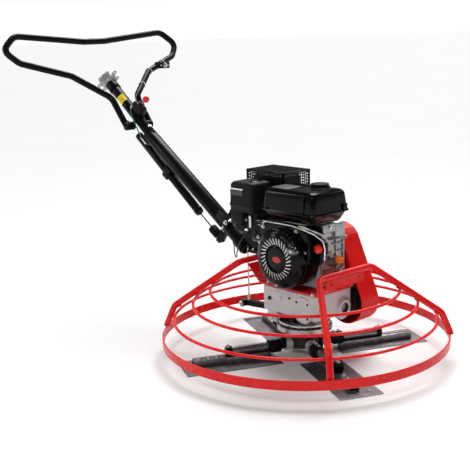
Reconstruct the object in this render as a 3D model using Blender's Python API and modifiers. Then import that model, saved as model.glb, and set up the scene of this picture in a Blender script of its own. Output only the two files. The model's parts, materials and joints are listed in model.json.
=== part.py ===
"""Walk-behind power trowel: four-blade rotor, worm gearbox, small petrol engine, guard and folding handle.

Metres, +Z up, blades standing on z = 0.  +X points away from the operator, +Y is the belt side.
Every piece is laid out about the rotor axis, which stands ROTOR_X in front of the origin, so that
the origin is the centre of the bounding box's base.
"""
import bpy
import bmesh
from math import acos, atan2, cos, hypot, pi, radians, sin, tan
from mathutils import Matrix, Vector

# ---------------------------------------------------------------- driving dimensions
ROTOR_X = 0.3655
GAP = 0.0003

GUARD_RADIUS = 0.490
BAND_THICKNESS = 0.005
BAND_BOTTOM = 0.053
BAND_TOP = 0.083
WIRE_RADIUS = 0.005
WIRE_RINGS = {"guard_wire_lower": (0.447, 0.135),
              "guard_wire_middle": (0.381, 0.187),
              "guard_wire_upper": (0.321, 0.229)}
HOOP_RADIUS = 0.011
HOOP_CORNER = (0.186, 0.125, 0.316)
HOOP_KNEE_RADIUS = 0.459
HOOP_KNEE_HEIGHT = 0.156
HOOP_FOOT_ANGLE = radians(37.5)

ROTOR_ANGLE = radians(-24.3)
ARM_HEIGHT = 0.040
ARM_TUBE_RADIUS = 0.0165
ARM_LENGTH = 0.285
BLADE_INNER = 0.110
BLADE_OUTER = 0.440
BLADE_LEADING = -0.063
BLADE_TRAILING = 0.080
BLADE_THICKNESS = 0.003

GEARBOX_LOW = (-0.110, -0.090, 0.153)
GEARBOX_HIGH = (0.133, 0.090, 0.2432)
GEARBOX_WALL = 0.008
WORM_X = 0.080
WORM_Z = 0.187
SHAFT_RADIUS = 0.015
YOKE_PIVOT = (-0.070, 0.1365)
COLLAR_RADIUS = 0.088
PLATE_RADIUS = 0.095

BASE_THICKNESS = 0.006
BASE_Y = (-0.092, 0.088)
CRANK_X = 0.018
CRANK_Z = 0.362
CRANK_RADIUS = 0.0125
ENGINE_FLOOR = 0.2500
BELT_Y = 0.123
BELT_GUARD_Y = (0.0990, 0.185)
BELT_GUARD_LOWER = (0.095, 0.180)

HANDLE_ANGLE = radians(34.0)
FOLD_JOINT = (-0.385, 0.0, 0.3988)
HANDLE_RADIUS = 0.027
HANDLE_BORE = 0.0235
HANDLE_LENGTH = 0.545
LOWER_END = -0.130
UPPER_RADIUS = 0.021
UPPER_START = (0.520, 0.006)
UPPER_END = (0.850, 0.021)
FOLD_PIVOT = (-0.013, 0.029)
LATCH_W = -0.069
LATCH_BARREL_RADIUS = 0.0175
CABLE_X = -0.280
CABLE_RADIUS = 0.0022
BAR_RADIUS = 0.0127
BAR_HALF = [(-0.909, -0.0225, 0.737), (-0.909, -0.058, 0.737), (-0.995, -0.062, 0.846), (-1.080, -0.190, 0.938),
            (-1.150, -0.376, 0.995), (-1.186, -0.424, 1.045), (-1.210, -0.358, 1.099), (-1.194, -0.050, 1.069)]

# ---------------------------------------------------------------- scene, materials, frames


def clear_scene():
    for item in list(bpy.data.objects):
        bpy.data.objects.remove(item, do_unlink=True)


def new_collection(name):
    group = bpy.data.collections.new(name)
    bpy.context.scene.collection.children.link(group)
    return group


def new_material(name, colour, roughness, metallic):
    material = bpy.data.materials.new(name)
    material.use_nodes = True
    shader = material.node_tree.nodes["Principled BSDF"]
    shader.inputs["Base Color"].default_value = (*colour, 1.0)
    shader.inputs["Roughness"].default_value = roughness
    shader.inputs["Metallic"].default_value = metallic
    material.diffuse_color = (*colour, 1.0)
    return material


clear_scene()
PARTS = new_collection("power_trowel")
CUTTERS = new_collection("cutters")

FINISHES = {
    "red_paint": ((0.62, 0.012, 0.010), 0.28, 0.0),
    "black_paint": ((0.012, 0.012, 0.013), 0.35, 0.0),
    "black_plastic": ((0.016, 0.016, 0.017), 0.45, 0.0),
    "red_plastic": ((0.75, 0.03, 0.015), 0.35, 0.0),
    "orange_plastic": ((0.90, 0.22, 0.01), 0.4, 0.0),
    "green_cable": ((0.02, 0.25, 0.14), 0.45, 0.0),
    "pale_wire": ((0.75, 0.76, 0.55), 0.45, 0.0),
    "cast_aluminium": ((0.60, 0.61, 0.61), 0.45, 1.0),
    "machined_steel": ((0.55, 0.55, 0.54), 0.30, 1.0),
    "blade_steel": ((0.09, 0.095, 0.10), 0.42, 1.0),
    "cast_iron": ((0.05, 0.05, 0.052), 0.6, 1.0),
    "bronze": ((0.55, 0.34, 0.12), 0.4, 1.0),
    "belt_rubber": ((0.015, 0.015, 0.015), 0.7, 0.0),
}

ROTOR = Matrix.Translation((ROTOR_X, 0.0, 0.0))
SIDE_ON = Matrix.Rotation(pi / 2, 4, "X")
CRANK = ROTOR @ Matrix.Translation((CRANK_X, 0.0, CRANK_Z)) @ SIDE_ON
WORM = ROTOR @ Matrix.Translation((WORM_X, 0.0, WORM_Z)) @ SIDE_ON
HANDLE = (ROTOR @ Matrix.Translation(FOLD_JOINT)
          @ Matrix.Rotation(pi, 4, "Z") @ Matrix.Rotation(-HANDLE_ANGLE, 4, "Y"))


def arm_frame(index):
    """Local X runs outward along the arm, local Z up, with the origin on the arm's own axis."""
    turn = Matrix.Rotation(ROTOR_ANGLE + index * pi / 2, 4, "Z")
    return ROTOR @ turn @ Matrix.Translation((0.0, 0.0, ARM_HEIGHT))


# ---------------------------------------------------------------- shape tools


def add(name, data, frame, finish=None):
    """Link one object; a piece with no finish is a tool that cuts or joins another."""
    item = bpy.data.objects.new(name, data)
    item.matrix_world = frame
    if finish is None:
        CUTTERS.objects.link(item)
        item.hide_render = True
        item.display_type = "WIRE"
        return item
    PARTS.objects.link(item)
    item.data.materials.append(new_material(name, *FINISHES[finish]))
    return item


def mesh_from(builder, name):
    mesh = bpy.data.meshes.new(name)
    builder.to_mesh(mesh)
    builder.free()
    return mesh


def soften(item, width, segments=2):
    bevel = item.modifiers.new("bevel", "BEVEL")
    bevel.width = width
    bevel.segments = segments
    bevel.limit_method = "ANGLE"
    bevel.angle_limit = radians(40)


def shade_round(mesh):
    mesh.shade_smooth()
    mesh.set_sharp_from_angle(angle=radians(35))


def block(name, low, high, frame=ROTOR, finish=None, bevel=0.0, segments=2):
    low = Vector(low)
    high = Vector(high)
    builder = bmesh.new()
    bmesh.ops.create_cube(builder, size=1.0)
    bmesh.ops.scale(builder, vec=high - low, verts=builder.verts)
    item = add(name, mesh_from(builder, name), frame @ Matrix.Translation((low + high) / 2), finish)
    if bevel:
        soften(item, bevel, segments)
    return item


def rod(name, start, end, radius, frame=ROTOR, finish=None, sides=24, end_radius=None):
    """A round bar or a cone between two points of the frame."""
    start = Vector(start)
    end = Vector(end)
    along = end - start
    builder = bmesh.new()
    bmesh.ops.create_cone(builder, cap_ends=True, segments=sides, radius1=radius,
                          radius2=radius if end_radius is None else end_radius, depth=along.length)
    mesh = mesh_from(builder, name)
    shade_round(mesh)
    turn = Vector((0, 0, 1)).rotation_difference(along).to_matrix().to_4x4()
    return add(name, mesh, frame @ Matrix.Translation((start + end) / 2) @ turn, finish)


def turned(name, profile, frame=ROTOR, finish=None, steps=32):
    """A solid turned about the frame's Z; a profile that leaves the axis alone is a closed ring."""
    mesh = bpy.data.meshes.new(name)
    edges = [(i, i + 1) for i in range(len(profile) - 1)]
    if profile[0][0] > 0 or profile[-1][0] > 0:
        edges.append((len(profile) - 1, 0))
    mesh.from_pydata([(r, 0.0, z) for r, z in profile], edges, [])
    item = add(name, mesh, frame, finish)
    screw = item.modifiers.new("screw", "SCREW")
    screw.axis = "Z"
    screw.steps = steps
    screw.render_steps = steps
    screw.use_merge_vertices = True
    screw.merge_threshold = 0.0001
    screw.use_smooth_shade = False
    return item


def ring_profile(inner, outer, low, high):
    return [(outer, high), (outer, low), (inner, low), (inner, high)]


def shaft_profile(sections):
    """Stepped shaft from (radius, low, high) sections listed from the bottom up."""
    profile = [(0.0, sections[-1][2])]
    for radius, low, high in reversed(sections):
        profile += [(radius, high), (radius, low)]
    return profile + [(0.0, sections[0][1])]


def plate(name, outlines, low, high, frame=ROTOR, finish=None):
    """A flat outline, with any further outlines as holes, between two heights of the frame."""
    curve = bpy.data.curves.new(name, "CURVE")
    curve.dimensions = "2D"
    curve.fill_mode = "BOTH"
    curve.extrude = (high - low) / 2
    for outline in outlines:
        spline = curve.splines.new("POLY")
        spline.points.add(len(outline) - 1)
        for point, (x, y) in zip(spline.points, outline):
            point.co = (x, y, 0.0, 1.0)
        spline.use_cyclic_u = True
    middle = Matrix.Translation((0.0, 0.0, (low + high) / 2))
    return to_mesh(add(name, curve, frame @ middle, finish))


def pipe(name, route, radius, frame=ROTOR, finish=None, closed=False, fineness=2):
    curve = bpy.data.curves.new(name, "CURVE")
    curve.dimensions = "3D"
    curve.bevel_depth = radius
    curve.bevel_resolution = fineness
    curve.use_fill_caps = not closed
    spline = curve.splines.new("POLY")
    spline.points.add(len(route) - 1)
    for point, place in zip(spline.points, route):
        point.co = (*place, 1.0)
    spline.use_cyclic_u = closed
    spline.use_smooth = True
    return to_mesh(add(name, curve, frame, finish))


def to_mesh(item):
    """Swap a curve object for its welded mesh, so that it can be cut and joined."""
    bpy.context.view_layer.update()
    graph = bpy.context.evaluated_depsgraph_get()
    mesh = bpy.data.meshes.new_from_object(item.evaluated_get(graph))
    builder = bmesh.new()
    builder.from_mesh(mesh)
    bmesh.ops.remove_doubles(builder, verts=builder.verts, dist=1e-5)
    bmesh.ops.recalc_face_normals(builder, faces=builder.faces)
    builder.to_mesh(mesh)
    builder.free()
    name = item.name
    group = item.users_collection[0]
    solid = bpy.data.objects.new(name + "_solid", mesh)
    group.objects.link(solid)
    solid.matrix_world = item.matrix_world.copy()
    solid.hide_render = item.hide_render
    solid.display_type = item.display_type
    bpy.data.objects.remove(item, do_unlink=True)
    solid.name = name
    shade_round(mesh)
    return solid


def combine(item, operation, *tools):
    for tool in tools:
        boolean = item.modifiers.new(tool.name, "BOOLEAN")
        boolean.operation = operation
        boolean.object = tool
        boolean.solver = "EXACT"
    return item


def cut(item, *tools):
    return combine(item, "DIFFERENCE", *tools)


def join(item, *tools):
    return combine(item, "UNION", *tools)


def arc(centre, radius, start, end, count):
    """Points on a circle's arc from one angle to another, both ends included."""
    return [(centre[0] + radius * cos(start + (end - start) * i / (count - 1)),
             centre[1] + radius * sin(start + (end - start) * i / (count - 1))) for i in range(count)]


def circle(centre, radius, count=32):
    return arc(centre, radius, 0.0, 2 * pi * (count - 1) / count, count)


def belt_line(first, first_radius, second, second_radius, count=16):
    """The taut outline round two circles."""
    across = (second[0] - first[0], second[1] - first[1])
    heading = atan2(across[1], across[0])
    spread = acos((first_radius - second_radius) / hypot(*across))
    return (arc(second, second_radius, heading - spread, heading + spread, count)
            + arc(first, first_radius, heading + spread, heading + 2 * pi - spread, count))


def rounded(points, radius, steps=4):
    """A route whose inner corners become arcs of the given radius."""
    route = [Vector(points[0])]
    for before, corner, after in zip(points, points[1:], points[2:]):
        corner = Vector(corner)
        back = (Vector(before) - corner)
        ahead = (Vector(after) - corner)
        half = back.angle(ahead) / 2
        reach = min(radius / tan(half), back.length * 0.45, ahead.length * 0.45)
        start = corner + back.normalized() * reach
        end = corner + ahead.normalized() * reach
        for i in range(steps + 1):
            t = i / steps
            route.append(start * (1 - t) ** 2 + corner * 2 * t * (1 - t) + end * t ** 2)
    route.append(Vector(points[-1]))
    return route


def bent_sheet(line, thickness):
    """The outline of a sheet of one thickness that follows a line of corners."""
    sides = ([], [])
    for i, point in enumerate(line):
        before = Vector(line[max(i - 1, 0)])
        after = Vector(line[min(i + 1, len(line) - 1)])
        here = Vector(point)
        first = (here - before).normalized() if i else (after - here).normalized()
        last = (after - here).normalized() if i < len(line) - 1 else first
        normal = (Vector((-first.y, first.x)) + Vector((-last.y, last.x))).normalized()
        reach = thickness / 2 / normal.dot(Vector((-first.y, first.x)))
        sides[0].append(tuple(here + normal * reach))
        sides[1].append(tuple(here - normal * reach))
    return sides[0] + sides[1][::-1]


def mirrored(points):
    """A route followed by its mirror image in y, so that it runs from one side to the other."""
    return points + [(x, -y, z) for x, y, z in reversed(points)]


# ---------------------------------------------------------------- guard


def make_guard():
    band = ring_profile(GUARD_RADIUS - BAND_THICKNESS, GUARD_RADIUS, BAND_BOTTOM, BAND_TOP)
    turned("guard_band", band, ROTOR, "red_paint", steps=72)
    for name, (radius, height) in WIRE_RINGS.items():
        route = [(x, y, height) for x, y in circle((0.0, 0.0), radius, 56)]
        pipe(name, route, WIRE_RADIUS, ROTOR, "red_paint", closed=True, fineness=1)
    for name, side in (("guard_front_hoop", 1), ("guard_rear_hoop", -1)):
        pipe(name, hoop_route(side), HOOP_RADIUS, ROTOR, "red_paint", fineness=3)


def hoop_route(side):
    """Foot on the band, knee, slope, corner, level bar and back down the other leg."""
    foot_radius = GUARD_RADIUS - BAND_THICKNESS / 2
    foot = Vector((foot_radius * cos(HOOP_FOOT_ANGLE), foot_radius * sin(HOOP_FOOT_ANGLE), BAND_TOP + 0.0055))
    corner = Vector(HOOP_CORNER)
    reach = (HOOP_KNEE_RADIUS - hypot(corner.x, corner.y)) / (foot_radius - hypot(corner.x, corner.y))
    knee = corner.lerp(foot, reach)
    knee.z = HOOP_KNEE_HEIGHT
    half = [(side * p.x, p.y, p.z) for p in (foot, knee, corner)]
    return rounded(mirrored(half), 0.034, 5)


# ---------------------------------------------------------------- rotor


def make_rotor():
    hub = turned("spider_hub", ring_profile(SHAFT_RADIUS + GAP, 0.045, 0.026, 0.078), ROTOR, "cast_iron", 24)
    for index in range(4):
        frame = arm_frame(index)
        socket = rod(f"hub_socket_{index}", (0.030, 0, 0), (0.0755, 0, 0), 0.021, frame, sides=16)
        join(hub, socket)
    for index in range(4):
        bore = rod(f"hub_bore_{index}", (0.047, 0, 0), (0.090, 0, 0), 0.0123, arm_frame(index), sides=16)
        cut(hub, bore)
    turned("output_shaft", shaft_profile([(SHAFT_RADIUS, 0.024, 0.205)]), ROTOR, "machined_steel", 24)
    make_worm_wheel()
    turned("pressure_plate", ring_profile(SHAFT_RADIUS + GAP, PLATE_RADIUS, 0.090, 0.1085), ROTOR,
           "machined_steel", 40)
    collar = [(COLLAR_RADIUS, 0.1225), (COLLAR_RADIUS, 0.113), (0.060, 0.113), (0.060, 0.109), (0.019, 0.109),
              (0.019, 0.1225)]
    turned("thrust_collar", collar, ROTOR, "machined_steel", 40)
    for index in range(4):
        make_arm(index)


def make_worm_wheel():
    teeth = 24
    root = 0.0565
    tip = 0.0608
    outline = []
    for i in range(teeth):
        for radius, share in ((root, 0.0), (root, 0.35), (tip, 0.5), (tip, 0.85)):
            angle = 2 * pi * (i + share) / teeth
            outline.append((radius * cos(angle), radius * sin(angle)))
    bore = circle((0.0, 0.0), SHAFT_RADIUS + GAP, 24)
    plate("worm_wheel", [outline, bore], WORM_Z - 0.010, WORM_Z + 0.010, ROTOR, "bronze")


def make_arm(index):
    """Spigot in the hub, tube, clamp, pressure tab and blade rail: one welded arm, and its blade."""
    frame = arm_frame(index)
    number = index + 1
    arm = rod(f"blade_arm_{number}", (0.077, 0, 0), (ARM_LENGTH, 0, 0), ARM_TUBE_RADIUS, frame,
              "black_paint", sides=16)
    spigot = rod(f"arm_spigot_{number}", (0.050, 0, 0), (0.100, 0, 0), 0.012, frame, sides=16)
    clamp = block(f"arm_clamp_{number}", (0.093, -0.025, -0.020), (0.135, 0.025, 0.021), frame)
    tab = block(f"arm_tab_{number}", (0.0785, 0.016, -0.004), (0.096, 0.028, 0.0495), frame)
    rail = block(f"arm_rail_{number}", (0.128, -0.018, BLADE_THICKNESS + GAP - ARM_HEIGHT),
                 (0.400, 0.018, -0.014), frame)
    join(arm, spigot, clamp, tab, rail)
    block(f"trowel_blade_{number}", (BLADE_INNER, BLADE_LEADING, -ARM_HEIGHT),
          (BLADE_OUTER, BLADE_TRAILING, BLADE_THICKNESS - ARM_HEIGHT), frame, "blade_steel")


# ---------------------------------------------------------------- gearbox and pitch yoke


def make_gearbox():
    low = Vector(GEARBOX_LOW)
    high = Vector(GEARBOX_HIGH)
    wall = Vector((GEARBOX_WALL,) * 3)
    housing = block("gearbox_housing", low, high, ROTOR, "cast_aluminium", bevel=0.005, segments=1)
    worm_boss = rod("worm_boss", (0, 0, -low.y - 0.004), (0, 0, -low.y + 0.004), 0.044, WORM, sides=32)
    foot_boss = rod("foot_boss", (0, 0, 0.140), (0, 0, 0.157), 0.040, ROTOR, sides=32)
    drain_boss = rod("drain_boss", (high.x - 0.004, 0.047, 0.178), (high.x + 0.010, 0.047, 0.178), 0.034,
                     ROTOR, sides=24, end_radius=0.026)
    join(housing, worm_boss, foot_boss, drain_boss)
    for name, side in (("left", -1), ("right", 1)):
        lug = block(f"yoke_lug_{name}", (-0.090, min(side * 0.0765, side * 0.088), 0.118),
                    (-0.050, max(side * 0.0765, side * 0.088), 0.157), ROTOR)
        join(housing, lug)
    cavity = block("gearbox_cavity", low + wall, high - wall + Vector((0, 0, 0.030)), ROTOR)
    outlet = rod("shaft_outlet", (0, 0, 0.130), (0, 0, 0.170), SHAFT_RADIUS + 2 * GAP, ROTOR, sides=32)
    worm_hole = rod("worm_hole", (0, 0, -0.070), (0, 0, -0.100), 0.0104, WORM, sides=20)
    drain_hole = rod("drain_hole", (high.x - 0.002, 0.047, 0.178), (high.x + 0.020, 0.047, 0.178), 0.018,
                     ROTOR, sides=24)
    pivot_x, pivot_z = YOKE_PIVOT
    pivot_hole = rod("pivot_hole", (pivot_x, -0.100, pivot_z), (pivot_x, 0.100, pivot_z), 0.0084, ROTOR, sides=20)
    cut(housing, cavity, outlet, worm_hole, drain_hole, pivot_hole)
    worm = [(0.010, -0.150, -0.036), (0.0185, -0.036, 0.036), (0.010, 0.036, 0.0815)]
    turned("worm_shaft", shaft_profile(worm), WORM, "machined_steel", 20)
    turned("gearbox_pulley", grooved_wheel(0.0103, 0.052, 0.060), WORM, "cast_iron", 32)


def grooved_wheel(bore, groove, rim):
    """A one-groove pulley whose groove is centred on the belt's plane."""
    centre = -BELT_Y
    return [(rim, centre + 0.011), (rim, centre + 0.006), (groove, centre + 0.006), (groove, centre - 0.006),
            (rim, centre - 0.006), (rim, centre - 0.011), (bore, centre - 0.011), (bore, centre + 0.011)]


def make_yoke():
    pivot_x, pivot_z = YOKE_PIVOT
    yoke = rod("pitch_yoke", (pivot_x, -0.074, pivot_z), (pivot_x, 0.074, pivot_z), 0.0105, ROTOR,
               "black_paint", sides=20)
    pin = rod("yoke_pin", (pivot_x, -0.0895, pivot_z), (pivot_x, 0.0895, pivot_z), 0.0080, ROTOR, sides=20)
    outline = [(-0.300, 0.112), (-0.095, 0.1265), (-0.066, 0.1265), (-0.066, 0.1460), (-0.300, 0.131)]
    lever = plate("yoke_lever", [outline], -0.011, 0.011, ROTOR @ SIDE_ON)
    eye = rod("yoke_eye", (-0.300, -0.020, 0.121), (-0.300, 0.020, 0.121), 0.014, ROTOR, sides=20)
    join(yoke, pin, lever, eye)
    for name, side in (("left", -1), ("right", 1)):
        near, far = sorted((side * 0.044, side * 0.062))
        prong = block(f"yoke_prong_{name}", (-0.072, near, 0.1290), (0.012, far, 0.1400), ROTOR)
        pad = block(f"yoke_pad_{name}", (-0.006, near, 0.1230), (0.006, far, 0.1300), ROTOR)
        join(yoke, prong, pad)
    rod("pitch_cable", (CABLE_X, 0, 0.1335), (CABLE_X, 0, 0.340), 0.0025, ROTOR, "machined_steel", sides=8)


# ---------------------------------------------------------------- base, belt drive


def make_base():
    line = [(-0.181, 0.3018), (-0.121, 0.2466), (0.140, 0.2466), (0.158, 0.276), (0.186, 0.276), (0.186, 0.3045)]
    plate("engine_base", [bent_sheet(line, BASE_THICKNESS)], -BASE_Y[1], -BASE_Y[0], ROTOR @ SIDE_ON, "red_paint")
    make_handle_mount()


def make_handle_mount():
    """Foot plate on the rear bar, web, and the sleeve that grips the lower end of the handle."""
    mount = rod("handle_mount", (-0.122, 0, 0), (-0.076, 0, 0), 0.0315, HANDLE, "black_paint", sides=28)
    outline = [(-0.226, 0.332), (-0.150, 0.332), (-0.150, 0.346), (-0.205, 0.372), (-0.275, 0.392), (-0.302, 0.372),
               (-0.262, 0.345)]
    web = plate("mount_web", [outline], -0.014, 0.014, ROTOR @ SIDE_ON)
    foot = block("mount_foot", (-0.232, -0.045, 0.3273), (-0.146, 0.045, 0.3353), ROTOR)
    join(mount, web, foot)
    seat = rod("mount_seat", (-0.300, 0, 0), (0.000, 0, 0), HANDLE_RADIUS + GAP, HANDLE, sides=28)
    cut(mount, seat)


def make_belt_drive():
    crank = (CRANK_X, CRANK_Z)
    worm = (WORM_X, WORM_Z)
    side = ROTOR @ SIDE_ON
    outer = belt_line(crank, 0.0475, worm, 0.0595)
    inner = belt_line(crank, 0.0405, worm, 0.0525)
    plate("drive_belt", [outer, inner], -BELT_Y - 0.005, -BELT_Y + 0.005, side, "belt_rubber")
    drum = grooved_wheel(CRANK_RADIUS + GAP, 0.040, 0.048)
    rim, back = drum[0][0], -BELT_Y - 0.011
    cup = [(rim, back - 0.024), (rim - 0.005, back - 0.024), (rim - 0.005, back - 0.003)]
    profile = drum[:5] + cup + [(drum[6][0], back - 0.003), drum[7]]
    turned("clutch_drum", profile, CRANK, "machined_steel", 32)
    make_belt_guard()


def make_belt_guard():
    """A pan round both pulleys; its upper half is closed towards the engine by a back plate."""
    side = ROTOR @ SIDE_ON
    crank = (CRANK_X, CRANK_Z)
    low, high = -BELT_GUARD_Y[1], -BELT_GUARD_Y[0]
    outline = belt_line(crank, 0.074, BELT_GUARD_LOWER, 0.078, 18)
    guard = plate("belt_guard", [outline], low, high, side, "red_paint")
    hollow = plate("belt_guard_hollow", [belt_line(crank, 0.071, BELT_GUARD_LOWER, 0.075, 18)],
                   low + 0.003, high + 0.020, side)
    back = plate("belt_guard_back", [outline, circle(crank, 0.030)], high - 0.003, high, side)
    below = block("belt_guard_below", (-0.080, 0.080, 0.080), (0.220, 0.200, 0.290), ROTOR)
    cut(back, below)
    cut(guard, hollow)
    join(guard, back)


# ---------------------------------------------------------------- engine


def make_engine_core():
    case = block("crankcase", (-0.066, -0.050, ENGINE_FLOOR), (0.115, 0.0755, 0.420), ROTOR, "cast_aluminium",
                 bevel=0.008, segments=1)
    cover = block("crankcase_cover", (-0.063, 0.0740, 0.255), (0.112, 0.0855, 0.415), ROTOR,
                  bevel=0.006, segments=1)
    neck = rod("filler_neck", (0.105, 0.010, 0.332), (0.146, 0.010, 0.350), 0.014, ROTOR, sides=20)
    join(case, cover, neck)
    room = block("crank_room", (-0.058, -0.042, 0.258), (0.107, 0.076, 0.412), ROTOR)
    hole = rod("crank_hole", (0, 0, 0.070), (0, 0, -0.100), CRANK_RADIUS + GAP, CRANK, sides=24)
    cut(case, room, hole)
    sections = [(CRANK_RADIUS - 0.0005, -0.158, -0.1565), (0.038, -0.1565, -0.1385),
                (CRANK_RADIUS, -0.1385, -0.045), (0.034, -0.045, 0.020), (CRANK_RADIUS, 0.020, 0.112)]
    turned("crankshaft", shaft_profile(sections), CRANK, "machined_steel", 24)
    fan = [(0.040, 0.108), (0.040, 0.080), (0.094, 0.080), (0.094, 0.062), (CRANK_RADIUS + GAP, 0.062),
           (CRANK_RADIUS + GAP, 0.108)]
    turned("flywheel_fan", fan, CRANK, "cast_iron", 32)
    make_cylinder_head()


def make_cylinder_head():
    """Finned barrel, leaning back 25 degrees from level, with the rocker cover on its end."""
    half_core, half_fin = 0.033, 0.048
    start, fin_count, pitch, fin = 0.119, 6, 0.012, 0.004
    upper = [(start, half_core)]
    for i in range(fin_count):
        near = start + 0.003 + i * pitch
        upper += [(near, half_core), (near, half_fin), (near + fin, half_fin), (near + fin, half_core)]
    end = start + fin_count * pitch + 0.004
    upper += [(end, half_core), (end, 0.040), (end + 0.022, 0.040)]
    lower = [(x, -y) for x, y in reversed(upper)]
    lean = Matrix.Rotation(pi - radians(25), 4, "Z")
    plate("cylinder_head", [upper + lower], -0.060, 0.044, CRANK @ lean, "cast_aluminium")


def make_shroud():
    radius, depth, rear, wall = 0.1035, 0.1150, 0.0515, 0.003

    def outline(inset):
        right, left, top = 0.117 - inset, -0.106 + inset, 0.108 - inset
        fan = arc((0.0, 0.0), radius - inset, pi, 2 * pi, 18)
        return fan + arc((right - 0.055, top - 0.055), 0.055, 0.0, pi / 2, 6) + [(left + 0.015, top), (left, 0.085)]

    shroud = plate("fan_shroud", [outline(0.0)], rear, depth, CRANK, "black_paint")
    box = block("switch_box", (0.1300, -0.0840, 0.386), (0.1690, -0.0600, 0.424), ROTOR)
    join(shroud, box)
    hollow = plate("shroud_hollow", [outline(wall)], rear - 0.020, depth - wall, CRANK)
    mouth = rod("shroud_mouth", (0, 0, 0.100), (0, 0, 0.130), 0.088, CRANK, sides=32)
    cut(shroud, hollow, mouth)
    dome = [(0.0, 0.152), (0.076, 0.152), (0.093, 0.142), (0.1025, 0.126), (0.1030, 0.1155),
            (0.0998, 0.1155), (0.0993, 0.125), (0.0910, 0.139), (0.0750, 0.149), (0.0, 0.149)]
    turned("recoil_cover", dome, CRANK, "black_paint", 40)
    block("starter_grip", (0.082, -0.1690, 0.390), (0.126, -0.1525, 0.416), ROTOR, "black_plastic", bevel=0.005)
    turned("engine_switch", shaft_profile([(0.0145, 0.0843, 0.0960), (0.0120, 0.0960, 0.1000)]),
           ROTOR @ Matrix.Translation((0.152, 0.0, 0.405)) @ SIDE_ON, "red_plastic", 20)


def make_engine_tops():
    tank = block("fuel_tank", (-0.072, -0.125, 0.4790), (0.164, 0.045, 0.588), ROTOR, "black_paint",
                 bevel=0.024, segments=3)
    seam = block("tank_seam", (-0.079, -0.132, 0.5150), (0.171, 0.052, 0.5195), ROTOR, bevel=0.0015, segments=1)
    join(tank, seam)
    room = block("tank_room", (-0.069, -0.122, 0.4820), (0.161, 0.042, 0.585), ROTOR, bevel=0.021, segments=2)
    neck = rod("tank_neck", (0.075, 0.003, 0.560), (0.075, 0.003, 0.600), 0.019, ROTOR, sides=24)
    cut(tank, room, neck)
    turned("fuel_cap", shaft_profile([(0.018, 0.5800, 0.5883), (0.030, 0.5883, 0.6000)]),
           ROTOR @ Matrix.Translation((0.075, 0.003, 0.0)), "black_plastic", 24)
    cap_lean = Matrix.Rotation(radians(66), 4, "Y")
    cap_frame = ROTOR @ Matrix.Translation((0.146, 0.010, 0.350)) @ cap_lean
    turned("oil_filler_cap", shaft_profile([(0.0150, GAP, 0.0180)]), cap_frame, "orange_plastic", 20)

    cleaner = block("air_cleaner", (-0.237, -0.125, 0.4900), (-0.115, -0.022, 0.592), ROTOR, "black_plastic",
                    bevel=0.010, segments=2)
    intake = block("cleaner_room", (-0.233, -0.121, 0.4600), (-0.119, -0.026, 0.588), ROTOR, bevel=0.007, segments=1)
    cut(cleaner, intake)
    carburettor = block("carburettor", (-0.170, -0.106, 0.420), (-0.104, -0.050, 0.462), ROTOR, "cast_aluminium",
                        bevel=0.004, segments=1)
    bowl = rod("float_bowl", (-0.136, -0.078, 0.392), (-0.136, -0.078, 0.430), 0.022, ROTOR, sides=20)
    throat = rod("air_throat", (-0.146, -0.078, 0.450), (-0.146, -0.078, 0.5200), 0.021, ROTOR, sides=20)
    join(carburettor, bowl, throat)
    block("choke_lever", (-0.150, -0.1120, 0.438), (-0.137, -0.1065, 0.482), ROTOR, "machined_steel",
          bevel=0.0015, segments=1)

    muffler = block("muffler", (-0.256, 0.008, 0.520), (-0.100, 0.108, 0.603), ROTOR, "cast_iron",
                    bevel=0.012, segments=2)
    chamber = block("muffler_room", (-0.253, 0.011, 0.523), (-0.103, 0.105, 0.600), ROTOR, bevel=0.010, segments=1)
    outlet = rod("muffler_outlet", (-0.170, 0.090, 0.580), (-0.170, 0.120, 0.580), 0.010, ROTOR, sides=16)
    cut(muffler, chamber, outlet)
    cage = block("muffler_guard", (-0.268, -0.008, 0.508), (-0.0825, 0.124, 0.618), ROTOR, "black_paint",
                 bevel=0.008, segments=2)
    inside = block("guard_room", (-0.2655, -0.0055, 0.480), (-0.0850, 0.1215, 0.6155), ROTOR,
                   bevel=0.0055, segments=2)
    cut(cage, inside)
    wire = [(0.085, -0.110, 0.4735), (0.105, -0.106, 0.4720), (0.128, -0.088, 0.4590), (0.1375, -0.050, 0.436),
            (0.1380, -0.020, 0.405), (0.134, -0.004, 0.380), (0.124, 0.000, 0.362)]
    pipe("engine_wire", smooth(wire, 4), CABLE_RADIUS, ROTOR, "pale_wire")


def smooth(points, steps):
    """A Catmull-Rom curve through the points of a route."""
    points = [Vector(p) for p in points]
    padded = [points[0] * 2 - points[1]] + points + [points[-1] * 2 - points[-2]]
    route = []
    for a, b, c, d in zip(padded, padded[1:], padded[2:], padded[3:]):
        for i in range(steps):
            t = i / steps
            route.append(0.5 * (b * 2 + (c - a) * t + (a * 2 - b * 5 + c * 4 - d) * t ** 2
                                + (b * 3 - a - c * 3 + d) * t ** 3))
    return route + [points[-1]]


# ---------------------------------------------------------------- handle


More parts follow.
